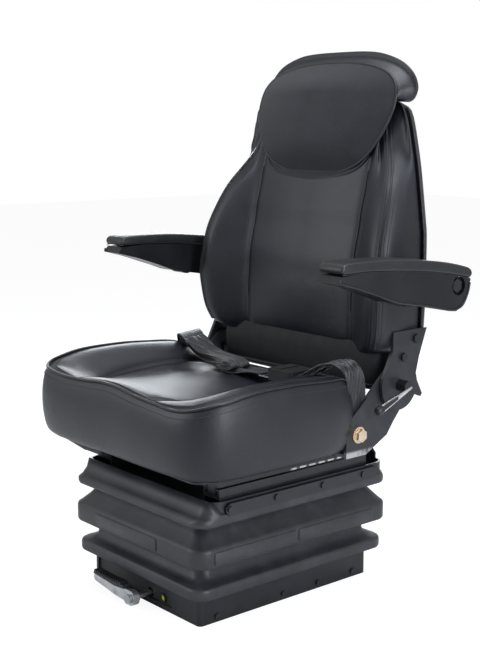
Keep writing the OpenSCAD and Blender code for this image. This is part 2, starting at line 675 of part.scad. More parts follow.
lean_z = 690;
lean_y = 188;
function lean_at(z) = lean_y + (z - lean_z) * tan(lean);
module back_profile() polygon([
  [138, back_base], [130, 424], [121, 470], [118, 520], [123, 560], [132, 600], [160, 650],
  [lean_y, lean_z], [lean_at(back_top), back_top], [back_rear + 4, back_top], [back_rear, 600],
  [back_rear, back_base + 8], [246, back_base]]);
half_outline = [[196, back_base], [218, 430], [232, 466], [back_x, 520], [back_x - 1, 560],
  [back_x - 3, 610], [229, 645], [218, 684], [201, 720], [186, 750], [176, 790], [170, back_top]];
module back_outline() polygon(concat(half_outline,
  [for (i = [len(half_outline) - 1:-1:0]) [-half_outline[i][0], half_outline[i][1]]]));
module back_slice(y0, y1) intersection() {
  from_side(-back_x - 10, 2 * back_x + 20) back_profile();
  from_front(y0, y1 - y0) back_outline();
}
shell_y = 230;
module backrest_cushion() color("#24252a") difference() {
  back_slice(60, shell_y);
  along_post(-170) cylinder(h = 400, r = guide_r + 0.5);
  rod_x(-300, 300, tube_y, tube_z, tube_r + 0.2);
  rod_x(-300, 300, arm_pivot[0], arm_pivot[1], arm_pin_r + 0.2);
}
module backrest_shell() color("#1b1c1f") difference() {
  back_slice(shell_y, 300);
  along_post(-170) cylinder(h = 400, r = guide_r + 0.5);
  rod_x(-300, 300, arm_pivot[0], arm_pivot[1], arm_pin_r + 0.2);
}
module back_tube() color("#2b2d30") {
  rod_x(-plate_x, plate_x, tube_y, tube_z, tube_r);
}
module along_post(z) {
  for (x = [-post_x, post_x]) translate([x, post_y, back_top]) rotate([-lean, 0, 0]) translate([0, 0, z]) children();
}
module headrest_guides() color("#202124") difference() {
  along_post(-130) cylinder(h = 124, r = guide_r);
  along_post(-180) cylinder(h = 400, r = post_r + run_gap);
}
module headrest_posts() color("#a4a7a9") along_post(-120) cylinder(h = 120 + 34, r = post_r);
module headrest_cushion() color("#1f2023") difference() {
  intersection() {
    from_side(-head_x, 2 * head_x) polygon([
      [lean_at(713) - soft_gap * 2, 713], [180, 713], [171, 735], [170, 790], [183, 840], [207, 885],
      [235, 908], [266, head_top], [276, head_top - 14], [270, back_top + soft_gap * 3],
      [lean_at(back_top) - soft_gap * 2, back_top + soft_gap * 3]]);
    from_front(100, 300) polygon([
      [-90, 713], [90, 713], [128, 735], [154, 775], [head_x, 822], [head_x, 868], [150, 904],
      [100, head_top], [-100, head_top], [-150, 904], [-head_x, 868], [-head_x, 822], [-154, 775], [-128, 735]]);
  }
  along_post(-200) cylinder(h = 200 + 34 + 0.2, r = post_r + run_gap);
}

// Armrests

module armrest(s) color("#1d1e21") on_side(s) difference() {
  from_side(arm_in + 3, casing_w) polygon([
    [-41, 568], [-49, 557], [-6, 546], [39, 531], [82, 515], [108, 511], [154, 503], [206, 492],
    [224, 490], [240, 498], [254, 526], [259, 541], [203, 553], [154, 560], [83, 567], [15, 571]]);
  rod_x(0, 400, arm_pivot[0], arm_pivot[1], arm_pin_r + run_gap);
  rod_x(arm_in + casing_w - 5, 400, arm_pivot[0], arm_pivot[1], 16);
  translate([arm_in + 9, thumb_y - thumb_r - 2, 480]) cube([casing_w - 12, 2 * thumb_r + 4, thumb_z + thumb_r + 2 - 480]);
}
module armrest_pad(s) color("#27282b") on_side(s) from_side(arm_in, pad_w) polygon([
  [-42, 569], [-43, 578], [-38, 584], [15, 587], [82, 584], [154, 577], [203, 570], [256, 560],
  [262, 553], [260, 541.4], [203, 553.3], [154, 560.3], [83, 567.3], [15, 571.3]]);
module armrest_bolts() color("#8b8e91") both() {
  rod_x(210, arm_in + casing_w - 5, arm_pivot[0], arm_pivot[1], arm_pin_r);
  rod_x(back_x + 0.5, arm_in - 0.5, arm_pivot[0], arm_pivot[1], 17);
  rod_x(arm_in - 1, arm_in + 2.5, arm_pivot[0], arm_pivot[1], 13);
  translate([arm_in + casing_w - 4.7, arm_pivot[0], arm_pivot[1]]) rotate([0, 90, 0]) cylinder(h = 5, r = 12, $fn = 6);
  rod_x(arm_in + casing_w - 6, arm_in + casing_w - 4, arm_pivot[0], arm_pivot[1], arm_pin_r);
}
module armrest_wheel(s) color("#131416") on_side(s) {
  rod_x(arm_in + 9 + soft_gap, arm_in + casing_w - 3 - soft_gap, thumb_y, thumb_z, thumb_r);
}

base_tray();
front_panel();
base_screws();
travel_stops();
lower_pivot_shaft();
spindle_bearing();
weight_lever();
weight_lever_grip();
weight_spindle();
spring_carriage();
tension_springs();
spring_links();
indicator_bezel();
indicator_flag();
damper_tube();
damper_rod();
scissor_outer();
scissor_inner();
lower_rollers();
upper_rollers();
bellows();
upper_tray();
upper_pivot_shaft();
clamp_strips();
tray_screws();
rail_bases();
lower_rail(1);  // lower_rail_left
lower_rail(-1);  // lower_rail_right
upper_rail(1);  // upper_rail_left
upper_rail(-1);  // upper_rail_right
slide_lever();
seat_pan();
cushion_board();
seat_cushion();
recliner_bracket(1);  // recliner_bracket_left
recliner_bracket(-1);  // recliner_bracket_right
recliner_shafts();
anchor_bolts();
recliner_lever();
belt_left();
belt_right();
belt_tongue();
belt_buckle();
buckle_button();
recliner_plate(1);  // recliner_plate_left
recliner_plate(-1);  // recliner_plate_right
back_tube();
plate_bolts();
backrest_cushion();
backrest_shell();
headrest_guides();
headrest_posts();
headrest_cushion();
armrest(1);  // armrest_left
armrest(-1);  // armrest_right
armrest_pad(1);  // armrest_pad_left
armrest_pad(-1);  // armrest_pad_right
armrest_bolts();
armrest_wheel(1);  // armrest_wheel_left
armrest_wheel(-1);  // armrest_wheel_right
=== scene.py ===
"""Tractor suspension seat: leather cushions, bellows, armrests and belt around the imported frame.
Lengths in the tables are millimetres. The front of the seat faces -Y and the occupant's left is +X."""
import json
import math

import bmesh
import bpy
import numpy as np
from mathutils import Matrix, Vector


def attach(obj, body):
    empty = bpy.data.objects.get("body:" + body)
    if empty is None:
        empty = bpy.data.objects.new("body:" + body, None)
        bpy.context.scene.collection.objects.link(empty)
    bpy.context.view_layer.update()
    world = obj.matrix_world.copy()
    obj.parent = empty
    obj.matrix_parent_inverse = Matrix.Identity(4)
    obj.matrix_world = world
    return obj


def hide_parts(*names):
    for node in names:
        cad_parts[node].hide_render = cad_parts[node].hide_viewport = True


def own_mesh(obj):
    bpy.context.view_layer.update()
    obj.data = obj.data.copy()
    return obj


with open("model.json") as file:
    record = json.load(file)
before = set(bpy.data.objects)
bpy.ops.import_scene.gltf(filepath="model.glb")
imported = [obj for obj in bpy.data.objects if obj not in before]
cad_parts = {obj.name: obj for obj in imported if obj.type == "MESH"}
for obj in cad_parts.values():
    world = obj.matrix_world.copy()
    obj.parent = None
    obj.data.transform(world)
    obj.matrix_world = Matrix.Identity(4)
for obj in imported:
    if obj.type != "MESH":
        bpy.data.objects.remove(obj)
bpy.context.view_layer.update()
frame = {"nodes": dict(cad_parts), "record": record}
MM = 0.001


# Curves and meshes

def through(points, count, closed=False):
    """Evenly spaced points along the smooth curve through the given ones."""
    p = np.array(points, float)
    if closed:
        run = np.vstack([p[-1], p, p[0], p[1]])
    else:
        run = np.vstack([2 * p[0] - p[1], p, 2 * p[-1] - p[-2]])
    t = np.linspace(0, 1, 16, endpoint=False)[:, None]
    fine = [0.5 * (2 * b + (c - a) * t + (2 * a - 5 * b + 4 * c - d) * t ** 2 + (3 * b - a - 3 * c + d) * t ** 3)
            for a, b, c, d in zip(run, run[1:], run[2:], run[3:])]
    fine = np.vstack(fine + [run[-2][None]])
    reach = np.concatenate([[0], np.cumsum(np.linalg.norm(np.diff(fine, axis=0), axis=1))])
    at = np.linspace(0, reach[-1], count, endpoint=not closed)
    return np.stack([np.interp(at, reach, fine[:, k]) for k in range(p.shape[1])], 1)


def table(rows, at):
    """A smooth value read from (place, value) rows."""
    rows = np.array(sorted(rows), float)
    fine = through(rows, 60 * len(rows))
    order = np.argsort(fine[:, 0])
    return np.interp(at, fine[order, 0], fine[order, 1])


def smooth(low, high, x):
    t = np.clip((np.asarray(x, float) - low) / (high - low), 0, 1)
    return t * t * (3 - 2 * t)


class Form:
    """Points and faces of one piece, gathered before they become a mesh."""

    def __init__(self):
        self.points = []
        self.faces = []

    def add(self, points):
        start = len(self.points)
        self.points += [tuple(p) for p in points]
        return start

    def loft(self, rings, closed=True):
        """Faces between rings that all have the same number of points."""
        n = len(rings[0])
        start = self.add(np.vstack(rings))
        for j in range(len(rings) - 1):
            a = start + j * n
            for k in range(n if closed else n - 1):
                m = (k + 1) % n
                self.faces.append((a + k, a + m, a + n + m, a + n + k))
        return start

    def bridge(self, ring, first, columns, crown=None):
        """Closes a ring that is the same on both sides, with rows between its mirrored points."""
        n = len(ring)
        half = n // 2
        rows = [[first]]
        for k in range(1, half):
            a, b = np.array(ring[k]), np.array(ring[n - k])
            t = np.linspace(0, 1, columns + 1)[1:-1, None]
            between = a + (b - a) * t
            if crown is not None:
                between = crown(between)
            start = self.add(between)
            rows.append([first + k] + list(range(start, start + columns - 1)) + [first + n - k])
        rows.append([first + half])
        for a, b in zip(rows, rows[1:]):
            if len(a) == 1:
                self.faces += [(a[0], b[i], b[i + 1]) for i in range(len(b) - 1)]
            elif len(b) == 1:
                self.faces += [(a[i], a[i + 1], b[0]) for i in range(len(a) - 1)]
            else:
                self.faces += [(a[i], a[i + 1], b[i + 1], b[i]) for i in range(len(a) - 1)]

    def tube(self, path, radius, sides=8, closed=False):
        path = np.array(path, float)
        n = len(path)
        radius = np.broadcast_to(radius, n)
        ahead = np.roll(path, -1, 0) - np.roll(path, 1, 0)
        if not closed:
            ahead[0], ahead[-1] = path[1] - path[0], path[-1] - path[-2]
        ahead /= np.linalg.norm(ahead, axis=1)[:, None]
        across = np.cross(ahead[0], [0.3, 0.2, 1.0])
        rings = []
        turn = np.linspace(0, 2 * np.pi, sides, endpoint=False)
        for i in range(n):
            across = across - ahead[i] * (across @ ahead[i])
            across /= np.linalg.norm(across)
            over = np.cross(ahead[i], across)
            rings.append(path[i] + radius[i] * (np.cos(turn)[:, None] * across + np.sin(turn)[:, None] * over))
        if closed:
            rings.append(rings[0])
        start = self.loft(rings)
        if not closed:
            self.faces.append(tuple(range(start + sides - 1, start - 1, -1)))
            last = start + (n - 1) * sides
            self.faces.append(tuple(range(last, last + sides)))

    def ribbon(self, left, right, up, thickness):
        """A strap between two edge curves, with rounded edges."""
        left, right, up = np.array(left), np.array(right), np.array(up)
        shape = [(0.0, 0.0), (0.03, 0.5), (0.1, 0.5), (0.3, 0.5), (0.5, 0.5), (0.7, 0.5), (0.9, 0.5), (0.97, 0.5),
                 (1.0, 0.0), (0.97, -0.5), (0.9, -0.5), (0.7, -0.5), (0.5, -0.5), (0.3, -0.5), (0.1, -0.5), (0.03, -0.5)]
        rings = [[left[i] + (right[i] - left[i]) * s + up[i] * h * thickness for s, h in shape] for i in range(len(left))]
        start = self.loft([np.array(r) for r in rings])
        n = len(shape)
        self.faces.append(tuple(range(start + n - 1, start - 1, -1)))
        last = start + (len(rings) - 1) * n
        self.faces.append(tuple(range(last, last + n)))

    def build(self, name, surface, weld=0.02, subdivide=0, bevel=0, flat=False):
        mesh = bpy.data.meshes.new(name)
        mesh.from_pydata([tuple(c * MM for c in p) for p in self.points], [], self.faces)
        work = bmesh.new()
        work.from_mesh(mesh)
        bmesh.ops.remove_doubles(work, verts=work.verts, dist=weld * MM)
        bmesh.ops.dissolve_degenerate(work, edges=work.edges, dist=weld * MM * 0.5)
        bmesh.ops.recalc_face_normals(work, faces=work.faces)
        work.to_mesh(mesh)
        work.free()
        made = bpy.data.objects.new(name, mesh)
        bpy.context.scene.collection.objects.link(made)
        if bevel:
            edge = made.modifiers.new("edge", "BEVEL")
            edge.width = bevel * MM
            edge.segments = 4
            edge.angle_limit = math.radians(28)
            edge.harden_normals = False
        if subdivide:
            made.modifiers.new("round", "SUBSURF").levels = subdivide
        if bevel or subdivide:
            settle(made)
        made.data.materials.clear()
        made.data.materials.append(surface)
        made.data.shade_smooth()
        if flat:
            made.data.set_sharp_from_angle(angle=math.radians(34))
        return made


def settle(made):
    """Makes the result of a piece's modifiers its own mesh."""
    bpy.context.view_layer.update()
    result = bpy.data.meshes.new_from_object(made.evaluated_get(bpy.context.evaluated_depsgraph_get()))
    made.modifiers.clear()
    made.data = result
    result.name = made.name


def prism(outline, x0, x1):
    """A flat outline in Y and Z drawn out along X."""
    form = Form()
    outline = np.array(outline, float)
    ends = [np.column_stack([np.full(len(outline), x), outline]) for x in (x0, x1)]
    start = form.loft(ends)
    n = len(outline)
    form.faces.append(tuple(range(start + n - 1, start - 1, -1)))
    form.faces.append(tuple(range(start + n, start + 2 * n)))
    return form


# Shader nodes

class Value:
    """A socket that takes part in Python sums; each sum adds a Math node."""

    def __init__(self, surface, socket):
        self.surface = surface
        self.socket = socket

    def sum(self, operation, *values):
        made = self.surface.node("Math", {i: v for i, v in enumerate(values)}, operation=operation)
        return Value(self.surface, made.outputs[0])

    def __add__(self, other):
        return self.sum("ADD", self, other)

    __radd__ = __add__

    def __sub__(self, other):
        return self.sum("SUBTRACT", self, other)

    def __rsub__(self, other):
        return self.sum("SUBTRACT", other, self)

    def __mul__(self, other):
        return self.sum("MULTIPLY", self, other)

    __rmul__ = __mul__

    def __truediv__(self, other):
        return self.sum("DIVIDE", self, other)

    def __rtruediv__(self, other):
        return self.sum("DIVIDE", other, self)

    def __pow__(self, other):
        return self.sum("POWER", self, other)

    def wave(self):
        return self.sum("SINE", self)

    def size(self):
        return self.sum("ABSOLUTE", self)

    def between(self, low, high):
        """0 at low and 1 at high, held within those."""
        made = self.surface.node("MapRange", {"Value": self, "From Min": low, "From Max": high}, interpolation_type="SMOOTHSTEP")
        return Value(self.surface, made.outputs[0])


class Surface:
    """A material: its nodes come from node(), and its sums are Python expressions."""

    def __init__(self, name, **constants):
        self.material = bpy.data.materials.new(name)
        self.material.use_nodes = True
        self.tree = self.material.node_tree
        self.shader = self.tree.nodes["Principled BSDF"]
        for key, value in constants.items():
            self.shader.inputs[key.replace("_", " ")].default_value = value
        self.bumps = None

    def node(self, kind, sockets, **settings):
        made = self.tree.nodes.new("ShaderNode" + kind)
        for key, value in settings.items():
            setattr(made, key, value)
        for key, value in sockets.items():
            self.feed(made.inputs[key], value)
        return made

    def feed(self, socket, value):
        if isinstance(value, Value):
            value = value.socket
        if isinstance(value, bpy.types.NodeSocket):
            self.tree.links.new(value, socket)
        else:
            socket.default_value = value

    def place(self):
        return self.node("TexCoord", {}).outputs["Object"]

    def axes(self):
        split = self.node("SeparateXYZ", {"Vector": self.place()})
        return [Value(self, split.outputs[k]) for k in range(3)]

    def stretched(self, scale):
        return self.node("Mapping", {"Vector": self.place(), "Scale": scale}).outputs[0]

    def noise(self, scale, detail=3.0, roughness=0.55, place=None):
        made = self.node("TexNoise", {"Vector": place or self.place(), "Scale": scale, "Detail": detail, "Roughness": roughness})
        return Value(self, made.outputs[0])

    def cells(self, scale, feature="F1", place=None):
        made = self.node("TexVoronoi", {"Vector": place or self.place(), "Scale": scale}, feature=feature)
        return Value(self, made.outputs[0])

    def mix(self, factor, a, b):
        made = self.node("Mix", {0: factor, 6: (*a, 1) if isinstance(a, tuple) else a,
                                 7: (*b, 1) if isinstance(b, tuple) else b}, data_type="RGBA")
        return made.outputs[2]

    def bump(self, height, distance, strength=1.0):
        """Adds a relief; distance is its depth in millimetres."""
        sockets = {"Height": height, "Distance": distance * MM, "Strength": strength}
        if self.bumps is not None:
            sockets["Normal"] = self.bumps
        self.bumps = self.node("Bump", sockets).outputs[0]

    def done(self, colour=None, roughness=None):
        if colour is not None:
            self.feed(self.shader.inputs["Base Color"], colour)
        if roughness is not None:
            self.feed(self.shader.inputs["Roughness"], roughness)
        if self.bumps is not None:
            self.feed(self.shader.inputs["Normal"], self.bumps)
        return self.material


# Finishes

def leather(name, dark, light, gloss):
    """Grained upholstery leather: pebbled cells, fine pores and slow colour change."""
    s = Surface(name, Specular_IOR_Level=0.5)
    cloud = s.noise(9, 4)
    grain = s.cells(620, "DISTANCE_TO_EDGE")
    fine = s.noise(1900, 2)
    crease = s.noise(34, 5, 0.62, s.stretched((1.0, 1.0, 2.4)))
    s.bump(crease, 1.6, 0.22)
    s.bump(grain.between(0.0, 0.22) + fine * 0.25, 0.16, 0.5)
    colour = s.mix(cloud.between(0.3, 0.75), dark, light)
    return s.done(colour, gloss + (cloud - 0.5) * 0.16 + (1 - grain.between(0, 0.2)) * 0.1)


def suede(name):
    s = Surface(name, Sheen_Weight=0.22, Sheen_Roughness=0.45)
    nap = s.noise(420, 5, 0.7)
    patch = s.noise(26, 5, 0.6)
    s.bump(nap, 0.5, 0.55)
    s.bump(patch, 1.5, 0.16)
    shade = nap * 0.45 + patch * 0.55
    return s.done(s.mix(shade.between(0.3, 0.72), (0.0035, 0.0042, 0.0068), (0.0185, 0.020, 0.0270)), 0.86 + (patch - 0.5) * 0.2)


def rubber(name, dark, light, gloss, dust=0.3):
    s = Surface(name)
    x, y, z = s.axes()
    cloud = s.noise(14, 5, 0.6)
    fine = s.noise(900, 3, 0.7)
    s.bump(fine, 0.25, 0.35)
    s.bump(cloud, 1.5, 0.25)
    scuff = s.noise(60, 6, 0.7, s.stretched((1, 1, 0.35)))
    shade = cloud.between(0.3, 0.8) * (1 - dust) + scuff.between(0.45, 0.75) * dust
    return s.done(s.mix(shade, dark, light), gloss + (scuff - 0.5) * 0.3)


def painted(name, colour, light, gloss):
    """Powder coat with orange peel and slight wear."""
    s = Surface(name, Coat_Roughness=0.25)
    peel = s.noise(520, 2)
    cloud = s.noise(22, 5, 0.65)
    s.bump(peel, 0.12, 0.45)
    return s.done(s.mix(cloud.between(0.35, 0.8), colour, light), gloss + (cloud - 0.5) * 0.22)


def plated(name, colour, dull, gloss, along=(1, 1, 1)):
    """Plated metal with drawn lines and dull patches."""
    s = Surface(name, Metallic=1.0)
    lines = s.noise(160, 4, 0.7, s.stretched(along))
    cloud = s.noise(40, 5, 0.6)
    s.bump(lines, 0.06, 0.35)
    return s.done(s.mix(cloud.between(0.35, 0.7), colour, dull), gloss + (lines - 0.5) * 0.2 + (cloud - 0.5) * 0.15)


def bracket_paint(name):
    """Satin paint down to the feet, where the plate is bare and zinc plated."""
    s = Surface(name)
    x, y, z = s.axes()
    cloud = s.noise(24, 5, 0.65)
    s.bump(s.noise(520, 2), 0.12, 0.45)
    foot = (1 - z.between(0.256, 0.262)) * cloud.between(0.25, 0.45)
    s.feed(s.shader.inputs["Metallic"], foot)
    paint = s.mix(cloud.between(0.35, 0.8), (0.015, 0.0165, 0.021), (0.030, 0.0325, 0.039))
    return s.done(s.mix(foot, paint, (0.52, 0.53, 0.54)), 0.42 + (cloud - 0.5) * 0.2)


def rail_plate(name):
    """Slide rail: blackened along its front, bright and slotted towards its rear; each slot is pressed in and painted
    dark as painted shade.
    """
    s = Surface(name)
    x, y, z = s.axes()
    cloud = s.noise(46, 5, 0.65)
    lines = s.noise(170, 4, 0.7, s.stretched((1, 0.05, 1)))
    # Slot mask: pressed in by a bump and painted dark in the colour as painted shade.
    slot_relief_and_shade = (y * (2 * math.pi / 0.0215)).wave().between(0.35, 0.6)
    # Bare zinc towards the rear, dark with painted shade in each slot.
    bare = y.between(-0.016, -0.004) * (1 - slot_relief_and_shade * 0.9) * cloud.between(0.2, 0.42)
    s.bump(slot_relief_and_shade, -1.2, 0.8)
    s.bump(lines, 0.08, 0.4)
    s.feed(s.shader.inputs["Metallic"], bare)
    shade = s.mix(cloud, (0.42, 0.43, 0.44), (0.70, 0.71, 0.72))
    return s.done(s.mix(bare, (0.012, 0.012, 0.014), shade), 0.36 + (lines - 0.5) * 0.25)


def moulded(name, dark, light, gloss):
    """Moulded plastic with spark-eroded texture."""
    s = Surface(name)
    sparks = s.cells(1500)
    cloud = s.noise(18, 4)
    s.bump(sparks, 0.12, 0.5)
    return s.done(s.mix(cloud.between(0.3, 0.75), dark, light), gloss + (sparks - 0.5) * 0.1 + (cloud - 0.5) * 0.1)


def woven(name):
    """Belt webbing: ribs across its width, which runs along Y, and the pick lines across them, painted darker in their
    valleys as painted shade.
    """
    s = Surface(name, Sheen_Weight=0.25, Sheen_Roughness=0.4)
    x, y, z = s.axes()
    ribs = (y * (2 * math.pi / 0.0058)).wave() * 0.5 + 0.5
    picks = ((x + z) * (2 * math.pi / 0.0013) + (y * (2 * math.pi / 0.0029)).wave() * 1.6).wave() * 0.5 + 0.5
    wear = s.noise(55, 4)
    s.bump(ribs, 0.7, 0.7)
    s.bump(picks, 0.2, 0.5)
    # Colour follows the rib and pick relief as painted shade in the valleys, with real wear mixed in.
    shade = ribs * 0.6 + picks * 0.15 + wear * 0.3
    return s.done(s.mix(shade.between(0.2, 1.0), (0.003, 0.003, 0.0045), (0.026, 0.026, 0.033)), 0.42 + (wear - 0.5) * 0.3)


def thread(name):
    s = Surface(name)
    x, y, z = s.axes()
    twist_relief_and_shade = ((x + y + z) * (2 * math.pi / 0.0009)).wave() * 0.5 + 0.5
    s.bump(twist_relief_and_shade, 0.15, 0.6)
    # Colour follows the twist relief: painted shade in the grooves between the plies.
    return s.done(s.mix(twist_relief_and_shade, (0.02, 0.02, 0.023), (0.075, 0.075, 0.083)), 0.6 + twist_relief_and_shade * 0.1)


LEATHER = leather("cushion_leather", (0.0042, 0.0050, 0.0092), (0.0105, 0.0118, 0.0190), 0.33)
WELT = leather("welt_leather", (0.0055, 0.0058, 0.008), (0.013, 0.013, 0.017), 0.3)
SUEDE = suede("headrest_suede")
BELLOWS = rubber("bellows_rubber", (0.017, 0.018, 0.022), (0.046, 0.048, 0.055), 0.44)
LINING = rubber("lower_lining", (0.0030, 0.0034, 0.0050), (0.0075, 0.0080, 0.0105), 0.7)
SOFT_BLACK = rubber("soft_black", (0.010, 0.010, 0.012), (0.020, 0.020, 0.023), 0.42, 0.2)
PAINT = painted("satin_paint", (0.0075, 0.009, 0.0125), (0.016, 0.018, 0.023), 0.38)
BRACKET = bracket_paint("bracket_paint")
ZINC = plated("zinc_plate", (0.60, 0.61, 0.62), (0.38, 0.39, 0.40), 0.34, (1, 0.06, 1))
CHROME = plated("chrome_plate", (0.78, 0.79, 0.80), (0.66, 0.67, 0.68), 0.14)
CAST = plated("cast_alloy", (0.74, 0.75, 0.76), (0.45, 0.46, 0.47), 0.36)
BRASS = plated("yellow_zinc", (0.86, 0.72, 0.56), (0.68, 0.53, 0.38), 0.27)
PLASTIC = moulded("black_plastic", (0.008, 0.008, 0.009), (0.018, 0.018, 0.02), 0.44)
ARM = moulded("arm_plastic", (0.0040, 0.0042, 0.0062), (0.0105, 0.0108, 0.0140), 0.36)
SHELL = moulded("back_shell", (0.010, 0.010, 0.012), (0.022, 0.022, 0.025), 0.5)
NYLON = moulded("roller_nylon", (0.55, 0.54, 0.49), (0.68, 0.67, 0.62), 0.45)
YELLOW = moulded("indicator_yellow", (0.62, 0.66, 0.05), (0.75, 0.78, 0.10), 0.32)
RAIL = rail_plate("slide_rail")
WEB = woven("webbing")
THREAD = thread("seam_thread")
FINISH = {"painted_steel": PAINT, "zinc_plate": ZINC, "black_plastic": PLASTIC, "black_screws": PAINT, "bump_rubber": SOFT_BLACK,
          "cast_alloy": CAST, "grip_rubber": SOFT_BLACK, "spring_steel": ZINC, "yellow_plastic": YELLOW, "chrome_plate": CHROME,
          "roller_plastic": NYLON, "bellows_rubber": BELLOWS, "cushion_leather": LEATHER, "headrest_fabric": SUEDE,
          "brass_zinc": BRASS, "webbing": WEB, "button_plastic": PLASTIC, "back_shell": SHELL, "arm_plastic": ARM, "arm_pad": SOFT_BLACK}


def finish_frame():
    """Gives every CAD node the finish of its own material slot."""
    for row in frame["record"]["subparts"]:
        node = frame["nodes"][row["node"]]
        node.data.materials.clear()
        node.data.materials.append(FINISH[row["material_slot"]])
    for surface, names in ((BRACKET, ("recliner_plate_left", "recliner_plate_right", "recliner_bracket_left", "recliner_bracket_right")),
                           (RAIL, ("upper_rail_left", "upper_rail_right")),
                           (PAINT, ("lower_rail_left", "lower_rail_right", "rail_bases", "plate_bolts", "recliner_shafts",
                                    "armrest_bolts", "back_tube"))):
        for name in names:
            node = frame["nodes"][name]
            node.data.materials.clear()
            node.data.materials.append(surface)


def put(made, body, slot, *nodes, soft=None):
    """Joins a finished piece to its body and hides the CAD nodes it stands for; the slot is not used."""
    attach(made, body)
    if nodes:
        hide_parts(*nodes)
    return made


def stitches(name, path, body, above, spacing=4.4, length=3.0, radius=0.45):
    """A row of thread stitches along a seam, raised by above along each point's direction."""
    reach = np.linalg.norm(np.diff(path, axis=0), axis=1).sum()
    points = through(path, max(2, int(reach / spacing)))
    ups = through(above, len(points))
    form = Form()
    for i in range(len(points) - 1):
        way = points[i + 1] - points[i]
        way = way / np.linalg.norm(way)
        up = ups[i] / np.linalg.norm(ups[i])
        run = [points[i] + way * length * t + up * lift for t, lift in ((0, -0.3), (0.2, 0.35), (0.8, 0.35), (1, -0.3))]
        form.tube(run, radius, 5)
    return put(form.build(name, THREAD), body, "cushion_leather")


# Seat cushion

SEAT_BASE = 261
SEAT_PLAN = [(0, -263), (90, -264), (168, -261), (212, -249), (238, -221), (247, -180), (248, -110), (247, -30),
             (243, 22), (232, 56), (218, 80), (190, 93), (120, 95), (0, 95)]
SEAM_FRONT = [(-248, 380), (-215, 377), (-186, 377), (-132, 375), (-70, 378), (-25, 382), (18, 382), (72, 376), (125, 372),
              (163, 369), (200, 371), (248, 379)]
SEAM_SIDE = [(-264, 378), (-240, 380), (-208, 384), (-149, 393), (-66, 394), (0, 390), (43, 387), (62, 380), (80, 366), (95, 356)]
SEAT_SEAM = [(100, -250), (112, -224), (128, -190), (143, -145), (152, -95), (156, -40), (157, 20), (156, 84)]
SEAT_RING = 264


def mirrored(half):
    """A closed plan from its +X half, which runs from the front middle to the rear middle."""
    return half + [(-x, y) for x, y in half[-2:0:-1]]


def seat_seam_distance(x, y):
    path = through(SEAT_SEAM, 60)
    gap = np.hypot(np.abs(x)[:, None] - path[:, 0], y[:, None] - path[:, 1])
    return gap.min(1)


def seat_height(x, y):
    """The upper surface: a dished middle between bolsters, which falls over the front edge."""
    x, y = np.asarray(x, float), np.asarray(y, float)
    side = smooth(118, 214, np.abs(x))
    bolster = table([(-264, 372), (-200, 386), (-120, 397), (-40, 397), (30, 390), (95, 362)], y)
    middle = table([(-264, 377), (-225, 371), (-170, 359), (-90, 351), (0, 349), (60, 348), (95, 346)], y) + 3 * np.cos(x / 60)
    height = middle + (bolster - middle) * side
    gap = seat_seam_distance(x, y)
    fade = smooth(-262, -235, y)
    return height + (6.0 * (1 - np.exp(-gap / 24)) - 4.6 * np.exp(-(gap / 4.6) ** 2)) * fade


def seat_ring(plan, inset):
    """The plan moved inwards by inset."""
    ahead = np.roll(plan, -1, 0) - np.roll(plan, 1, 0)
    normal = np.column_stack([ahead[:, 1], -ahead[:, 0]])
    normal /= np.linalg.norm(normal, axis=1)[:, None]
    return plan - normal * inset


def seat_seam_z(ring):
    """Height of the welted edge round the seat."""
    front = table(SEAM_FRONT, ring[:, 0])
    side = table(SEAM_SIDE, ring[:, 1])
    return front + (side - front) * smooth(-258, -214, ring[:, 1])


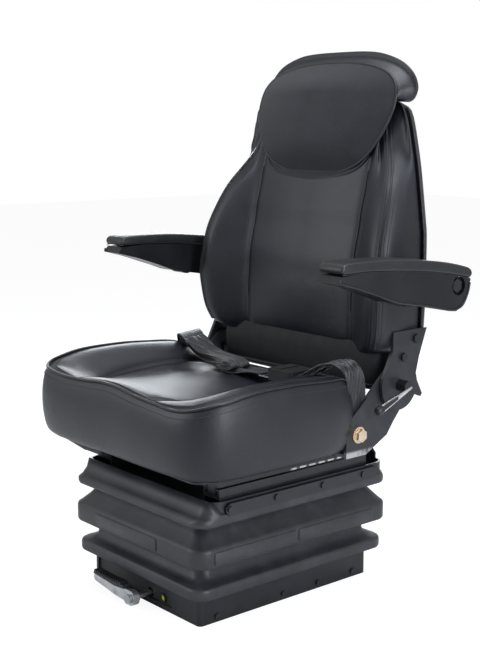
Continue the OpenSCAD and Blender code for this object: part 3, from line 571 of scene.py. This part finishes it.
def seat_cushion():
    plan = through(mirrored(SEAT_PLAN), SEAT_RING, closed=True)
    plan = np.roll(plan, 0, 0)
    seam = seat_ring(plan, 9)
    seam_z = seat_seam_z(seam)
    rings = []
    for share, inset in ((0.0, 44), (0.0, 20), (0.02, 11), (0.08, 5), (0.18, 1.5), (0.34, -1.5), (0.5, -2.5), (0.66, -2),
                         (0.8, 0), (0.9, 3), (0.965, 6.2), (1.0, 9)):
        ring = seat_ring(plan, inset)
        z = SEAT_BASE + (seam_z - SEAT_BASE) * share
        rings.append(np.column_stack([ring, z]))
    inner = seat_ring(plan, 11.5)
    rings.append(np.column_stack([inner, seam_z - 2.2]))
    spine = np.column_stack([np.zeros(len(seam)), np.clip(seam[:, 1], -150, 10)])
    base_gap = seam_z - seat_height(seam[:, 0], seam[:, 1])
    for t in np.linspace(0.075, 0.93, 42) ** 1.0:
        flat = seam + (spine - seam) * t
        z = seat_height(flat[:, 0], flat[:, 1]) + base_gap * (1 - smooth(0.0, 0.34, t)) + 1.2 * smooth(0.02, 0.08, t)
        rings.append(np.column_stack([flat, z]))
    form = Form()
    first = form.loft(rings)
    form.bridge(rings[0], first, 6)
    last = first + (len(rings) - 1) * SEAT_RING
    form.bridge(rings[-1], last, 4, lambda p: np.column_stack([p[:, :2], seat_height(p[:, 0], p[:, 1]) + 1.2]))
    put(form.build("seat_cushion_cover", LEATHER, subdivide=1), "seat_frame", "cushion_leather", "seat_cushion", soft=0.75)

    welt = np.column_stack([seat_ring(plan, 8.2), seam_z + 0.6])
    form = Form()
    form.tube(welt, 2.3, 8, closed=True)
    put(form.build("seat_welt", WELT, subdivide=0), "seat_frame", "cushion_leather")
    row = np.column_stack([seat_ring(plan, 3.0), SEAT_BASE + (seam_z - SEAT_BASE) * 0.905])
    outward = np.column_stack([plan - spine, np.full(len(plan), 60.0)])
    stitches("seat_edge_stitches", row, "seat_frame", outward)
    top_edge = seam + (spine - seam) * 0.075
    top_z = seat_height(top_edge[:, 0], top_edge[:, 1]) + base_gap * (1 - smooth(0.0, 0.34, 0.075)) + 1.3
    top_row = np.column_stack([top_edge, top_z])
    stitches("seat_top_stitches", top_row[:-26], "seat_frame", np.tile([0, 0, 1.0], (len(top_row) - 26, 1)))
    for side, name in ((1, "left"), (-1, "right")):
        path = through(SEAT_SEAM, 150)
        path[:, 0] *= side
        for offset, kind in ((0, "seam"), (5.5, "stitches")):
            flat = path.copy()
            flat[:, 0] += side * offset
            line = np.column_stack([flat, seat_height(flat[:, 0], flat[:, 1]) + 1.2])
            if kind == "seam":
                form = Form()
                form.tube(line + [0, 0, 0.2], 1.3, 6)
                put(form.build(f"seat_panel_seam_{name}", WELT), "seat_frame", "cushion_leather")
            else:
                stitches(f"seat_panel_stitches_{name}", line, "seat_frame", np.tile([0, 0, 1.0], (len(line), 1)))


# Backrest

BACK_W = [(408, 206), (418, 219), (430, 226), (450, 234), (480, 239), (520, 243), (560, 241), (600, 237), (640, 229.5), (680, 218),
          (720, 198), (750, 181), (780, 170), (842, 161)]
BACK_EDGE = [(408, 142), (418, 134), (430, 129), (450, 124), (480, 120), (520, 118), (560, 124), (600, 132), (640, 148), (680, 168),
             (720, 194), (750, 210), (780, 219), (842, 230)]
BACK_PANEL = [(408, 160), (440, 155), (500, 156), (530, 158), (560, 160), (590, 166), (620, 173), (650, 178), (680, 186),
              (713, 193), (750, 203), (842, 226)]
BACK_SIDE = [(408, 214), (430, 224), (500, 228), (600, 228), (632, 225), (709, 214), (751, 206), (797, 195), (817, 187), (833, 176)]
PANEL_X = 135
BACK_REAR = 236
BACK_LOW, BACK_HIGH = 409, 833
RECESS = [(0, 702), (45, 704), (90, 712), (118, 727), (134, 752), (142, 790), (146, 842)]


def recess_depth(x, z):
    """How far the panel behind the headrest is set back inside its U-shaped seam."""
    low = table(RECESS, np.abs(x))
    return 6 * smooth(-3, 9, z - low)


def back_section(z, count=44):
    """Half of the cover's outline at height z, from the rear middle round to the front middle."""
    w, edge, panel = table(BACK_W, z), table(BACK_EDGE, z), table(BACK_PANEL, z)
    px = min(PANEL_X, w - 34)
    crown = 7 * smooth(420, 520, z)
    wide = table(BACK_SIDE, z)
    near = min(26.0, (BACK_REAR - edge) * 0.35)
    rear = np.array([(0, BACK_REAR), (wide * 0.45, BACK_REAR), (wide - 24, BACK_REAR), (wide - 9, BACK_REAR - 1), (wide - 3, BACK_REAR - 5),
                     (wide, BACK_REAR - 12), ((w + wide) / 2 + 3, (BACK_REAR + edge) / 2), (w + 1 + (wide - w) * 0.22, edge + near),
                     (w - 1.5 + (wide - w) * 0.08, edge + near * 0.54), (w - 6, edge + near * 0.2)], float)
    front = np.array([(w - 12, edge + 0.5), (w - 20, edge - 2.5), (w - 34, edge - 1), ((w + px) / 2 - 6, (edge * 0.52 + panel * 0.48) - 5),
                      (px + 16, panel - 5), (px + 5, panel - 0.5), (px, panel + 1.6), (px - 5, panel - 0.6), (px - 18, panel - 3),
                      (px * 0.55, panel - 3 - crown * 0.7), (px * 0.25, panel - 3 - crown), (0, panel - 3 - crown)], float)
    half = np.vstack([through(rear, count), through(front, count + 30)])
    depth = recess_depth(half[count:, 0], z)
    half[count:, 1] += depth
    return half


def back_cover():
    levels = np.concatenate([[BACK_LOW], BACK_LOW + np.array([1.5, 4, 8, 13, 20]), np.linspace(440, 815, 64), BACK_HIGH - np.array([9, 6, 3.5, 1.6, 0.5, 0])])
    rings = []
    for z in levels:
        half = back_section(z)
        low = np.sqrt(np.clip(1 - ((BACK_LOW + 20 - z) / 20) ** 2, 0, 1)) if z < BACK_LOW + 20 else 1
        high = np.sqrt(np.clip(1 - ((z - BACK_HIGH + 9) / 9) ** 2, 0, 1)) if z > BACK_HIGH - 9 else 1
        tuck = 16 * (1 - low) + 7 * (1 - high)
        middle_y = 195
        x = half[:, 0] * (1 - tuck / 230)
        y = middle_y + (half[:, 1] - middle_y) * (1 - tuck / 60)
        loop = np.vstack([np.column_stack([x, y]), np.column_stack([-x[-2:0:-1], y[-2:0:-1]])])
        rings.append(np.column_stack([loop, np.full(len(loop), z)]))
    form = Form()
    first = form.loft(rings)
    n = len(rings[0])
    form.bridge(rings[0], first, 10)
    form.bridge(rings[-1], first + (len(rings) - 1) * n, 10)
    put(form.build("backrest_cover", LEATHER), "backrest", "cushion_leather", "backrest_cushion", soft=0.8)

    heights = np.linspace(424, 822, 170)
    for side, name in ((1, "left"), (-1, "right")):
        edge = np.array([[(table(BACK_W, z) - 8.5) * side, table(BACK_EDGE, z) + 2.2, z] for z in heights])
        form = Form()
        form.tube(edge, 1.9, 8)
        put(form.build(f"backrest_welt_{name}", WELT), "backrest", "cushion_leather")
        ridge = np.array([[(table(BACK_W, z) - 15.5) * side, table(BACK_EDGE, z) - 1.2, z] for z in heights])
        form = Form()
        form.tube(ridge, 1.5, 8)
        put(form.build(f"backrest_fell_seam_{name}", WELT), "backrest", "cushion_leather")
        for inset, back, kind in ((20.5, -2.4, "front"), (3.0, 9.5, "side")):
            row = np.array([[(table(BACK_W, z) - inset) * side, table(BACK_EDGE, z) + back, z] for z in heights])
            out = np.tile([side * (0.3 if kind == "front" else 1.0), -1.0, 0.0], (len(row), 1))
            stitches(f"backrest_{kind}_stitches_{name}", row, "backrest", out)
        tall = np.linspace(476, 716, 110)
        seam = np.array([[PANEL_X * side, table(BACK_PANEL, z) + 0.8, z] for z in tall])
        form = Form()
        form.tube(seam, np.interp(tall, [476, 520, 716], [0.5, 1.3, 1.3]), 6)
        put(form.build(f"backrest_panel_seam_{name}", WELT), "backrest", "cushion_leather")
    across = np.linspace(-140, 140, 120)
    low = table(RECESS, np.abs(across))
    panel_y = np.array([table(BACK_PANEL, z) - 3 - 7 * max(0, 1 - (abs(x) / PANEL_X) ** 2) for x, z in zip(across, low)])
    form = Form()
    form.tube(np.column_stack([across, panel_y + 0.6, low - 3]), 2.0, 8)
    put(form.build("backrest_recess_welt", WELT), "backrest", "cushion_leather")


def back_shell():
    """The moulded rear shell, with a raised field and rounded edges."""
    levels = np.concatenate([411 + np.array([0, 1.2, 4, 9, 16]), np.linspace(440, 806, 40), 831 - np.array([14, 8, 3.5, 1, 0])])
    rings = []
    for z in levels:
        w = table(BACK_SIDE, z) - 2.5
        pull = 15 * max(0, (427 - z) / 16) ** 2 + 12 * max(0, (z - 817) / 14) ** 2
        rear = 257 - pull * 0.6
        field = 2.5 * smooth(435, 455, z) * (1 - smooth(780, 800, z))
        half = through([(0, rear - field), (w * 0.55, rear - field), (w * 0.78, rear - field), (w * 0.84, rear), (w - 16, rear),
                        (w - 5, rear - 5), (w - 0.5, rear - 13), (w, 240), (w - 3, 236.6), (w * 0.6, 236.4), (0, 236.4)], 64)
        x = half[:, 0] - pull * smooth(0, w, half[:, 0])
        loop = np.vstack([np.column_stack([x, half[:, 1]]), np.column_stack([-x[-2:0:-1], half[-2:0:-1, 1]])])
        rings.append(np.column_stack([loop, np.full(len(loop), z)]))
    form = Form()
    first = form.loft(rings)
    n = len(rings[0])
    form.bridge(rings[0], first, 10)
    form.bridge(rings[-1], first + (len(rings) - 1) * n, 10)
    put(form.build("backrest_rear_shell", SHELL), "backrest", "back_shell", "backrest_shell")
    heights = np.linspace(416, 822, 150)
    for side, name in ((1, "left"), (-1, "right")):
        path = np.array([[(table(BACK_SIDE, z) - 0.8) * side, 237, z] for z in heights])
        form = Form()
        form.tube(path, 2.4, 8)
        put(form.build(f"shell_welt_{name}", WELT), "backrest", "cushion_leather")


def rounded_ring(x, y0, y1, radius, count=12):
    """A rounded rectangle in plan, from the rear middle round."""
    points = []
    for cx, cy, start in ((x - radius, y1 - radius, 90), (x - radius, y0 + radius, 0), (-x + radius, y0 + radius, -90),
                          (-x + radius, y1 - radius, -180)):
        for a in np.radians(np.linspace(start, start - 90, count)):
            points.append((cx + radius * math.cos(a), cy + radius * math.sin(a)))
    return np.array(points)


def back_skirt():
    """The upholstery that reaches down behind the seat cushion."""
    rings = []
    for z, pull in ((338, 16), (339.5, 9), (343, 4), (350, 1), (366, 0), (392, -1), (408, 1), (420, 5)):
        ring = rounded_ring(205 - pull, 150 + pull, 214 - pull * 0.6, 22)
        rings.append(np.column_stack([ring, z + 6 * smooth(0, 200, np.abs(ring[:, 0]))]))
    form = Form()
    first = form.loft(rings)
    n = len(rings[0])
    form.faces.append(tuple(range(first + n - 1, first - 1, -1)))
    last = first + (len(rings) - 1) * n
    form.faces.append(tuple(range(last, last + n)))
    put(form.build("backrest_skirt", LINING, flat=True), "backrest", "cushion_leather", soft=0.8)
    form = Form()
    form.tube(rings[3] * [1.004, 1.0, 1.0] + [0, -0.6, 0], 1.7, 8, closed=True)
    put(form.build("backrest_skirt_welt", WELT), "backrest", "cushion_leather")


# Headrest

HEAD_FRONT = [(0, 709), (56, 711), (98, 721), (129, 741), (152, 772), (167, 806), (171, 832), (165, 858), (144, 878), (108, 891),
              (58, 899), (0, 901)]
HOOD = [(0, 922), (60, 921), (105, 916), (150, 901), (177, 880), (187, 858), (184, 843), (176, 833), (166, 830)]
HEAD_SEAM_Y = [(700, 189), (735, 194), (770, 202), (806, 211), (834, 219), (862, 227), (887, 235), (908, 241)]
HEAD_RING = 220
LEAN = math.tan(math.radians(14))
LEAN_Y, LEAN_Z = 188, 690


def lean_at(z):
    return LEAN_Y + (z - LEAN_Z) * LEAN


def headrest():
    outline = through(mirrored(HEAD_FRONT), HEAD_RING, closed=True)
    seam_y = table(HEAD_SEAM_Y, outline[:, 1])
    seam = np.column_stack([outline[:, 0], seam_y, outline[:, 1]])
    centre = np.array([0, 0, 812.0])
    front = []
    for t in np.linspace(0, 0.94, 26):
        spine_x = np.clip(outline[:, 0], -60, 60) * 0
        spine_z = np.clip(outline[:, 1], 780, 845)
        x = outline[:, 0] + (spine_x - outline[:, 0]) * t
        z = outline[:, 1] + (spine_z - outline[:, 1]) * t
        base = table(HEAD_SEAM_Y, z)
        bulge = 24 * (1 - (1 - min(1, t * 1.15)) ** 1.9) * (1 - 0.25 * smooth(850, 905, z))
        front.append(np.column_stack([x, base - bulge, z]))
    form = Form()
    first = form.loft([seam + [0, 2.5, 0]] + front)
    form.bridge(front[-1], first + 26 * HEAD_RING, 4)
    back = np.column_stack([outline[:, 0] * 0.97, seam_y + 3.5, 812 + (outline[:, 1] - 812) * 0.97])
    form.loft([seam + [0, 2.5, 0], back])
    form.bridge(back, len(form.points) - HEAD_RING, 6)
    put(form.build("headrest_front_pad", SUEDE, subdivide=1, weld=0.05), "headrest", "headrest_fabric", "headrest_cushion", soft=0.85)

    form = Form()
    form.tube(seam + [0, 1.5, 0], 2.6, 8, closed=True)
    put(form.build("headrest_welt", WELT), "headrest", "cushion_leather")

    arch = through(HOOD, 60)
    arch = np.vstack([arch, np.column_stack([np.linspace(150, 0, 12), np.full(12, 834.0)])])
    lip = through([(0, 901), (58, 899), (106, 891), (141, 878), (162, 859), (168, 845), (166, 836), (158, 832)], 60)
    lip = np.vstack([lip, np.column_stack([np.linspace(146, 0, 12), np.full(12, 834.0)])])
    rings = []
    for toward, inset, y in ((0.0, 12, 0), (0.0, 3, 1), (0.12, -1, 3.5), (0.34, 0, 0), (0.62, 0, 0), (0.86, 0, 0), (1.0, 0, 0),
                             (1.0, 2.5, 262), (1.0, 8, 268.5), (1.0, 17, 272.5), (1.0, 34, 274.5), (1.0, 60, 275)):
        half = lip + (arch - lip) * toward
        away = half - [0, 868]
        away = away / np.linalg.norm(away, axis=1)[:, None]
        half = half - away * inset * [1, 1]
        half[:, 1] = np.maximum(half[:, 1], 830.0)
        half[0, 0] = half[-1, 0] = 0
        front = table(HEAD_SEAM_Y, lip[:, 1])
        depth = {0.34: 14, 0.62: 24, 0.86: 34, 1.0: 44}.get(toward)
        if y > 200:
            at = np.full(len(half), float(y))
        elif depth is not None:
            at = np.minimum(front + depth, 256)
        else:
            at = front + y
        loop = np.column_stack([half[:, 0], at, half[:, 1]])
        other = loop[-2:0:-1] * [-1, 1, 1]
        rings.append(np.vstack([loop, other]))
    form = Form()
    first = form.loft(rings)
    n = len(rings[0])
    form.bridge(rings[0], first, 6)
    form.bridge(rings[-1], first + (len(rings) - 1) * n, 6)
    put(form.build("headrest_hood", LEATHER, subdivide=1, weld=0.05), "headrest", "cushion_leather")


# Bellows

FOLDS = [(152.9, 192.9, 192.9, 46, 0, 11), (153.4, 193.4, 193.4, 48.5, 0, 12), (160, 199, 199, 49.5, 0, 16),
         (170, 207, 207, 50.5, 0, 22), (174.5, 211, 211, 52.5, 0, 26), (175.5, 212, 212, 55.5, 0, 26), (175.5, 212, 212, 66, 0, 26),
         (174.6, 211, 211, 69.5, 0, 26), (171.5, 208.3, 208.3, 71.5, 0, 26), (164, 201, 201, 74, 0, 25), (153, 190.5, 190.5, 80, 0, 22),
         (149.5, 187.5, 187.5, 97, 0, 22), (149.5, 187.5, 187.5, 99.5, 0, 22), (152, 190, 190, 102, 0, 22),
         (176, 210, 210, 104.2, 0, 27), (180.6, 214.2, 214.2, 106, 0, 28), (182, 215.5, 215.5, 109, 0, 28),
         (182, 215.5, 215.5, 133, 0, 28), (181, 214.5, 214.5, 136.5, 0, 28), (177, 211, 211, 139.5, 0, 27),
         (166, 200, 202, 151, 0, 25), (157.5, 192, 194, 161, 0, 23), (156, 190.5, 192.5, 164, 0, 23),
         (156, 190.5, 192.5, 166.5, 0, 23), (158.5, 193, 195, 169, 0, 23), (176, 208, 210, 171, 0, 27),
         (180.6, 211.6, 213.2, 173, 0, 28), (181.9, 212.6, 214, 176, 0, 28), (181.9, 212.3, 213.6, 182, 0, 27),
         (181.9, 203, 212, 185, 2, 26), (181.9, 194, 210, 188, 10, 26), (181.9, 189.2, 209, 191, 23, 26)]
BELLOWS_RING = 240


def bellows_ring(fold, inset):
    half_x, front, rear, z, lift, radius = fold
    turn = 2 * np.pi * (np.arange(BELLOWS_RING) + 0.5) / BELLOWS_RING
    corner = []
    for a in turn:
        sx, sy = np.sign(np.cos(a)), np.sign(np.sin(a))
        corner.append((sx, sy))
    corner = np.array(corner)
    hx = half_x - inset
    hy = np.where(corner[:, 1] < 0, front, rear) - inset
    r = max(radius - inset, 2)
    straight = np.array([hx - r, 0.0])
    points = []
    quarter = BELLOWS_RING // 4
    for q, (sx, sy) in enumerate(((1, 1), (-1, 1), (-1, -1), (1, -1))):
        reach = (rear if sy > 0 else front) - inset
        cx, cy = sx * (hx - r), sy * (reach - r)
        side = [(sx * hx, cy * t) for t in np.linspace(0, 1, 21)[:-1]]
        arc = [(cx + sx * r * math.cos(b), cy + sy * r * math.sin(b)) for b in np.linspace(0, math.pi / 2, 21)[:-1]]
        flat = [(cx * (1 - t), sy * reach) for t in np.linspace(0, 1, 21)[:-1]]
        run = side + arc + flat
        if q % 2:
            run = [(0, sy * reach)] + run[:0:-1]
        points += run
    points = np.array(points)
    up = smooth(front - 26, front, -points[:, 1]) * lift
    return np.column_stack([points, z + up])


def bellows_shrink(made):
    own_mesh(made)


def bellows():
    outer = [bellows_ring(f, 0) for f in FOLDS]
    inner = [bellows_ring(f, 2.4) for f in FOLDS[::-1]]
    form = Form()
    form.loft(outer + inner + [outer[0]])
    made = form.build("bellows_boot", BELLOWS)
    put(made, "base", "bellows_rubber", "bellows")
    bellows_shrink(made)
    panels = {"front": [(-104, 70, -215.5)], "side": [(-184, -10, 182), (-4, 172, 182)]}
    for kind, spans in panels.items():
        for k, (a, b, face) in enumerate(spans):
            for side, word in (((1, "left"), (-1, "right")) if kind == "side" else ((1, "face"),)):
                form = Form()
                rings = []
                for lift, inset in ((-0.8, 0), (1.1, 0), (1.7, 0.8)):
                    ring = rounded_ring((b - a) / 2 - inset, 110 + inset, 132 - inset, 4, 6)
                    along = ring[:, 0] + (a + b) / 2
                    off = np.full(len(ring), (abs(face) + lift) * math.copysign(1, face) * side)
                    rings.append(np.column_stack([off, along, ring[:, 1]] if kind == "side" else [along, off, ring[:, 1]]))
                first = form.loft(rings)
                n = len(rings[0])
                form.faces.append(tuple(range(first + 2 * n, first + 3 * n)))
                form.faces.append(tuple(range(first + n - 1, first - 1, -1)))
                made = put(form.build(f"bellows_panel_{word}_{k + 1}", BELLOWS, flat=True), "base", "bellows_rubber")
                bellows_shrink(made)


# Armrests

PAD_SIDE = [(-42, 571), (-45, 575), (-44, 581), (-38, 586), (-20, 588), (15, 588), (82, 586), (154, 579), (203, 572), (248, 562),
            (260, 556), (261, 548), (256, 543)]
PAD_UNDER = [(203, 553.5), (154, 560.6), (83, 567.5), (15, 571.5)]
CASING = [(-38, 568), (-46, 562), (-45, 557), (-6, 546), (39, 531), (82, 517), (108, 512), (154, 504), (200, 494), (222, 491), (240, 498),
          (252, 516), (257, 534), (256, 541.5), (203, 552.8), (154, 560), (83, 567), (15, 571)]


def armrests():
    for side, name in ((1, "left"), (-1, "right")):
        outline = np.vstack([through(PAD_SIDE, 40), PAD_UNDER])
        form = prism(outline, 262 * side, 315 * side)
        put(form.build(f"armrest_cushion_{name}", SOFT_BLACK, bevel=6.5), f"armrest_{name}", "arm_pad", f"armrest_pad_{name}", soft=1.0)
        lower = np.vstack([through(CASING[1:10], 60), through(CASING[9:13], 24)[1:]])
        form = Form()
        form.tube(np.column_stack([np.full(len(lower), 312.2 * side), lower + [0, 1.4]]), 1.9, 8)
        put(form.build(f"armrest_lower_bead_{name}", ARM), f"armrest_{name}", "arm_plastic")
        joint = through([(-42, 570.6), (15, 571), (83, 567.2), (154, 560.4), (203, 553.1), (255, 542.5)], 60)
        form = Form()
        form.tube(np.column_stack([np.full(len(joint), 313.4 * side), joint]), 0.9, 6)
        put(form.build(f"armrest_joint_bead_{name}", ARM), f"armrest_{name}", "arm_plastic")


# Belt

def belt(name, centre, across, up, width, body, nodes, pleats, seed):
    """One strap of webbing along the given centre points, gathered into pleats along it."""
    count = 130
    reach = np.linspace(0, 1, count)
    centre, across, up = (through(v, count) for v in (centre, across, up))
    across /= np.linalg.norm(across, axis=1)[:, None]
    up /= np.linalg.norm(up, axis=1)[:, None]
    amount = np.interp(reach, *np.array(pleats).T)
    columns = np.linspace(0, 1, 19)
    rings = []
    for i in range(count):
        narrow = 1 - 0.045 * amount[i]
        wave = amount[i] * (np.sin(2 * np.pi * (1.7 * columns + 0.9 * reach[i] + seed)) + 0.45 * np.sin(2 * np.pi * (3.1 * columns - 2.1 * reach[i] + 2 * seed)))
        wave -= amount[i] * np.sin(2 * np.pi * (2.6 * reach[i] + seed)) * 0.4
        middle = centre[i] + across[i] * ((columns - 0.5) * width * narrow)[:, None] + up[i] * wave[:, None]
        top, under = middle + up[i] * 0.85, middle - up[i] * 0.85
        rings.append(np.vstack([top, under[::-1]]))
    form = Form()
    first = form.loft(rings)
    n = len(rings[0])
    form.faces.append(tuple(range(first + n - 1, first - 1, -1)))
    last = first + (count - 1) * n
    form.faces.append(tuple(range(last, last + n)))
    made = form.build(name, WEB, weld=0.001)
    put(made, body, "webbing", *nodes)
    length = np.linalg.norm(np.diff(centre, axis=0), axis=1).sum() * MM
    return made


def seat_belt():
    width = 47
    belt("belt_strap_right",
         [(-219.5, 85, 292), (-220, 84, 340), (-222, 80, 385), (-214, 72, 404), (-186, 62, 403), (-152, 58, 380), (-112, 54, 366),
          (-66, 48, 365), (-20, 42, 366), (24, 36, 370), (63, 35, 374)],
         [(0, 1, 0)] * 3 + [(0.1, 1, 0.1), (0.15, 1, 0.12), (0.1, 1, 0.1), (0.02, 1, 0.14), (0.1, 1, -0.08), (0.2, 1, 0.08), (0.1, 1, 0.02), (0, 1, 0)],
         [(-1, 0, 0)] * 2 + [(-1, 0, 0.4), (-0.7, 0, 1), (0.1, 0, 1), (0.35, 0, 1), (0.2, 0, 1), (0, 0, 1), (0, 0, 1), (0, 0, 1), (0, 0, 1)],
         width, "seat_frame", ["belt_right"],
         [(0, 0), (0.3, 0), (0.42, 0.8), (0.55, 3.2), (0.75, 4.0), (0.92, 2.4), (1, 0)], 0.15)
    belt("belt_fold_right",
         [(-170, 52, 402), (-138, 48, 392), (-100, 44, 384), (-60, 40, 382), (-26, 36, 379), (-14, 35, 372), (-30, 36, 367.5), (-60, 40, 368)],
         [(0.1, 1, 0.1), (0.1, 1, 0.1), (0.12, 1, 0.1), (0.2, 1, 0), (0.2, 1, 0), (0.2, 1, 0), (0.2, 1, 0), (0.2, 1, 0)],
         [(0.3, 0, 1), (0.3, 0, 1), (0.2, 0, 1), (0.1, 0, 1), (0.5, 0, 1), (1, 0, 0), (0.2, 0, -1), (0, 0, -1)],
         width * 0.92, "seat_frame", [],
         [(0, 1.0), (0.2, 2.6), (0.5, 3.4), (0.75, 2.0), (1, 0.5)], 0.6)
    belt("belt_strap_left",
         [(219.5, 85, 292), (222, 83, 335), (229, 78, 372), (226, 72, 396), (206, 66, 408), (184, 58, 404), (164, 46, 389), (143, 36, 378)],
         [(0, 1, 0)] * 3 + [(-0.1, 1, 0.1), (-0.1, 1, 0.08), (-0.05, 1, 0), (0, 1, 0), (0, 1, 0)],
         [(1, 0, 0)] * 2 + [(1, 0, 0.3), (0.8, 0, 0.7), (0.1, 0, 1), (-0.35, 0, 1), (-0.5, 0, 1), (-0.2, 0, 1)],
         width, "seat_frame", ["belt_left"],
         [(0, 0), (0.2, 1.0), (0.4, 3.0), (0.7, 3.0), (0.9, 1.5), (1, 0)], 0.35)


# Recliner lever

def recliner_lever():
    start, end = np.array([111.0, 332.0]), np.array([182.0, 359.0])
    along = (end - start) / np.linalg.norm(end - start)
    over = np.array([-along[1], along[0]])
    shape = [(0, 6.8), (10, 6.4), (42, 4.4), (70, 2.6), (75, 2.2), (77, 0), (75, -2.2), (70, -2.6), (42, -4.4), (10, -6.4), (0, -6.8)]
    outline = [start + along * a + over * b for a, b in shape]
    put(prism(outline, 252.6, 258.4).build("recliner_lever_blade", CHROME, bevel=1.1), "recliner_lever", "chrome_plate", "recliner_lever")
    inlay = [(4, 4.2), (12, 4.0), (38, 2.5), (40, 0), (38, -2.5), (12, -4.0), (4, -4.2)]
    outline = [start + along * a + over * b for a, b in inlay]
    put(prism(outline, 258.0, 258.9).build("recliner_lever_inlay", PLASTIC, flat=True), "recliner_lever", "black_plastic")
    form = Form()
    spots = [(-13, 3.2), (-12.4, 5.6), (-10, 7.2), (-5, 7.7), (0, 7.2), (2.4, 5.8)]
    run = [np.array([255.5, *(start + along * a)]) for a, r in spots]
    form.tube(run, [r for a, r in spots], 20)
    put(form.build("recliner_lever_knob", PLASTIC), "recliner_lever", "black_plastic")
    form = Form()
    form.tube([(245.5, 175, 360), (254, 175, 360)], 9, 24)
    put(form.build("recliner_lever_hub", PAINT, flat=True, bevel=0.6), "recliner_lever", "painted_steel")


# Camera, light and floor# Camera, light and floor

def studio():
    scene = bpy.context.scene
    scene.view_settings.view_transform = "Standard"
    camera = bpy.data.objects.new("camera", bpy.data.cameras.new("camera"))
    scene.collection.objects.link(camera)
    azimuth, pitch = math.radians(49.77), math.radians(9.79)
    camera.location = (1.5926, -1.3257, 0.7976)
    forward = Vector((-math.sin(azimuth) * math.cos(pitch), math.cos(azimuth) * math.cos(pitch), -math.sin(pitch)))
    camera.rotation_mode = "QUATERNION"
    camera.rotation_quaternion = forward.to_track_quat("-Z", "Y")
    camera.data.lens = 65.96
    camera.data.sensor_width = 36
    camera.data.clip_start = 0.05
    scene.camera = camera

    world = bpy.data.worlds.new("studio")
    scene.world = world
    world.use_nodes = True
    tree = world.node_tree
    back = tree.nodes["Background"]
    path = tree.nodes.new("ShaderNodeLightPath")
    seen = tree.nodes.new("ShaderNodeMath")
    seen.operation = "MAXIMUM"
    tree.links.new(path.outputs["Is Camera Ray"], seen.inputs[0])
    tree.links.new(path.outputs["Is Transmission Ray"], seen.inputs[1])
    shine = tree.nodes.new("ShaderNodeMath")
    shine.operation = "MULTIPLY"
    tree.links.new(path.outputs["Is Glossy Ray"], shine.inputs[0])
    shine.inputs[1].default_value = 0.42
    either = tree.nodes.new("ShaderNodeMath")
    either.operation = "MAXIMUM"
    tree.links.new(seen.outputs[0], either.inputs[0])
    tree.links.new(shine.outputs[0], either.inputs[1])
    strength = tree.nodes.new("ShaderNodeMapRange")
    tree.links.new(either.outputs[0], strength.inputs["Value"])
    strength.inputs["To Min"].default_value = 0.24
    strength.inputs["To Max"].default_value = 1.0
    back.inputs["Color"].default_value = (1, 1, 1, 1)
    tree.links.new(strength.outputs[0], back.inputs["Strength"])

    def lamp(name, place, target, size, power):
        data = bpy.data.lights.new(name, "AREA")
        data.shape = "RECTANGLE"
        data.size, data.size_y = size
        data.energy = power
        data.color = (0.90, 0.94, 1.0)
        made = bpy.data.objects.new(name, data)
        scene.collection.objects.link(made)
        made.location = place
        made.rotation_mode = "QUATERNION"
        made.rotation_quaternion = (Vector(target) - Vector(place)).to_track_quat("-Z", "Y")

    lamp("top_soft", (0.2, 0.2, 2.6), (0, 0, 0.4), (1.5, 1.5), 38)
    lamp("right_soft", (2.4, -0.1, 1.15), (0, 0, 0.5), (0.9, 1.9), 44)
    lamp("left_soft", (-1.5, -2.3, 1.5), (0, 0, 0.5), (0.9, 1.7), 24)
    lamp("rear_edge", (-1.75, 1.55, 0.98), (0, 0, 0.45), (1.5, 0.9), 24)

    floor = Surface("pale_floor", Roughness=0.9, Specular_IOR_Level=0.1)
    mottle = floor.noise(3, 2)
    cloth = floor.done(floor.mix(mottle, (0.90, 0.90, 0.90), (0.93, 0.93, 0.93)))
    glow = floor.node("Emission", {"Strength": 1.22})
    seen = Value(floor, floor.node("LightPath", {}).outputs["Is Camera Ray"]) * 0.74
    both = floor.node("MixShader", {0: seen, 1: floor.shader.outputs[0], 2: glow.outputs[0]})
    floor.feed(floor.tree.nodes["Material Output"].inputs["Surface"], both.outputs[0])
    form = Form()
    form.points = [(-9000, -9000, 0), (9000, -9000, 0), (9000, 9000, 0), (-9000, 9000, 0)]
    form.faces = [(0, 1, 2, 3)]
    ground = form.build("floor", cloth)


studio()
finish_frame()
seat_cushion()
back_cover()
back_skirt()
back_shell()
headrest()
bellows()
armrests()
seat_belt()
recliner_lever()
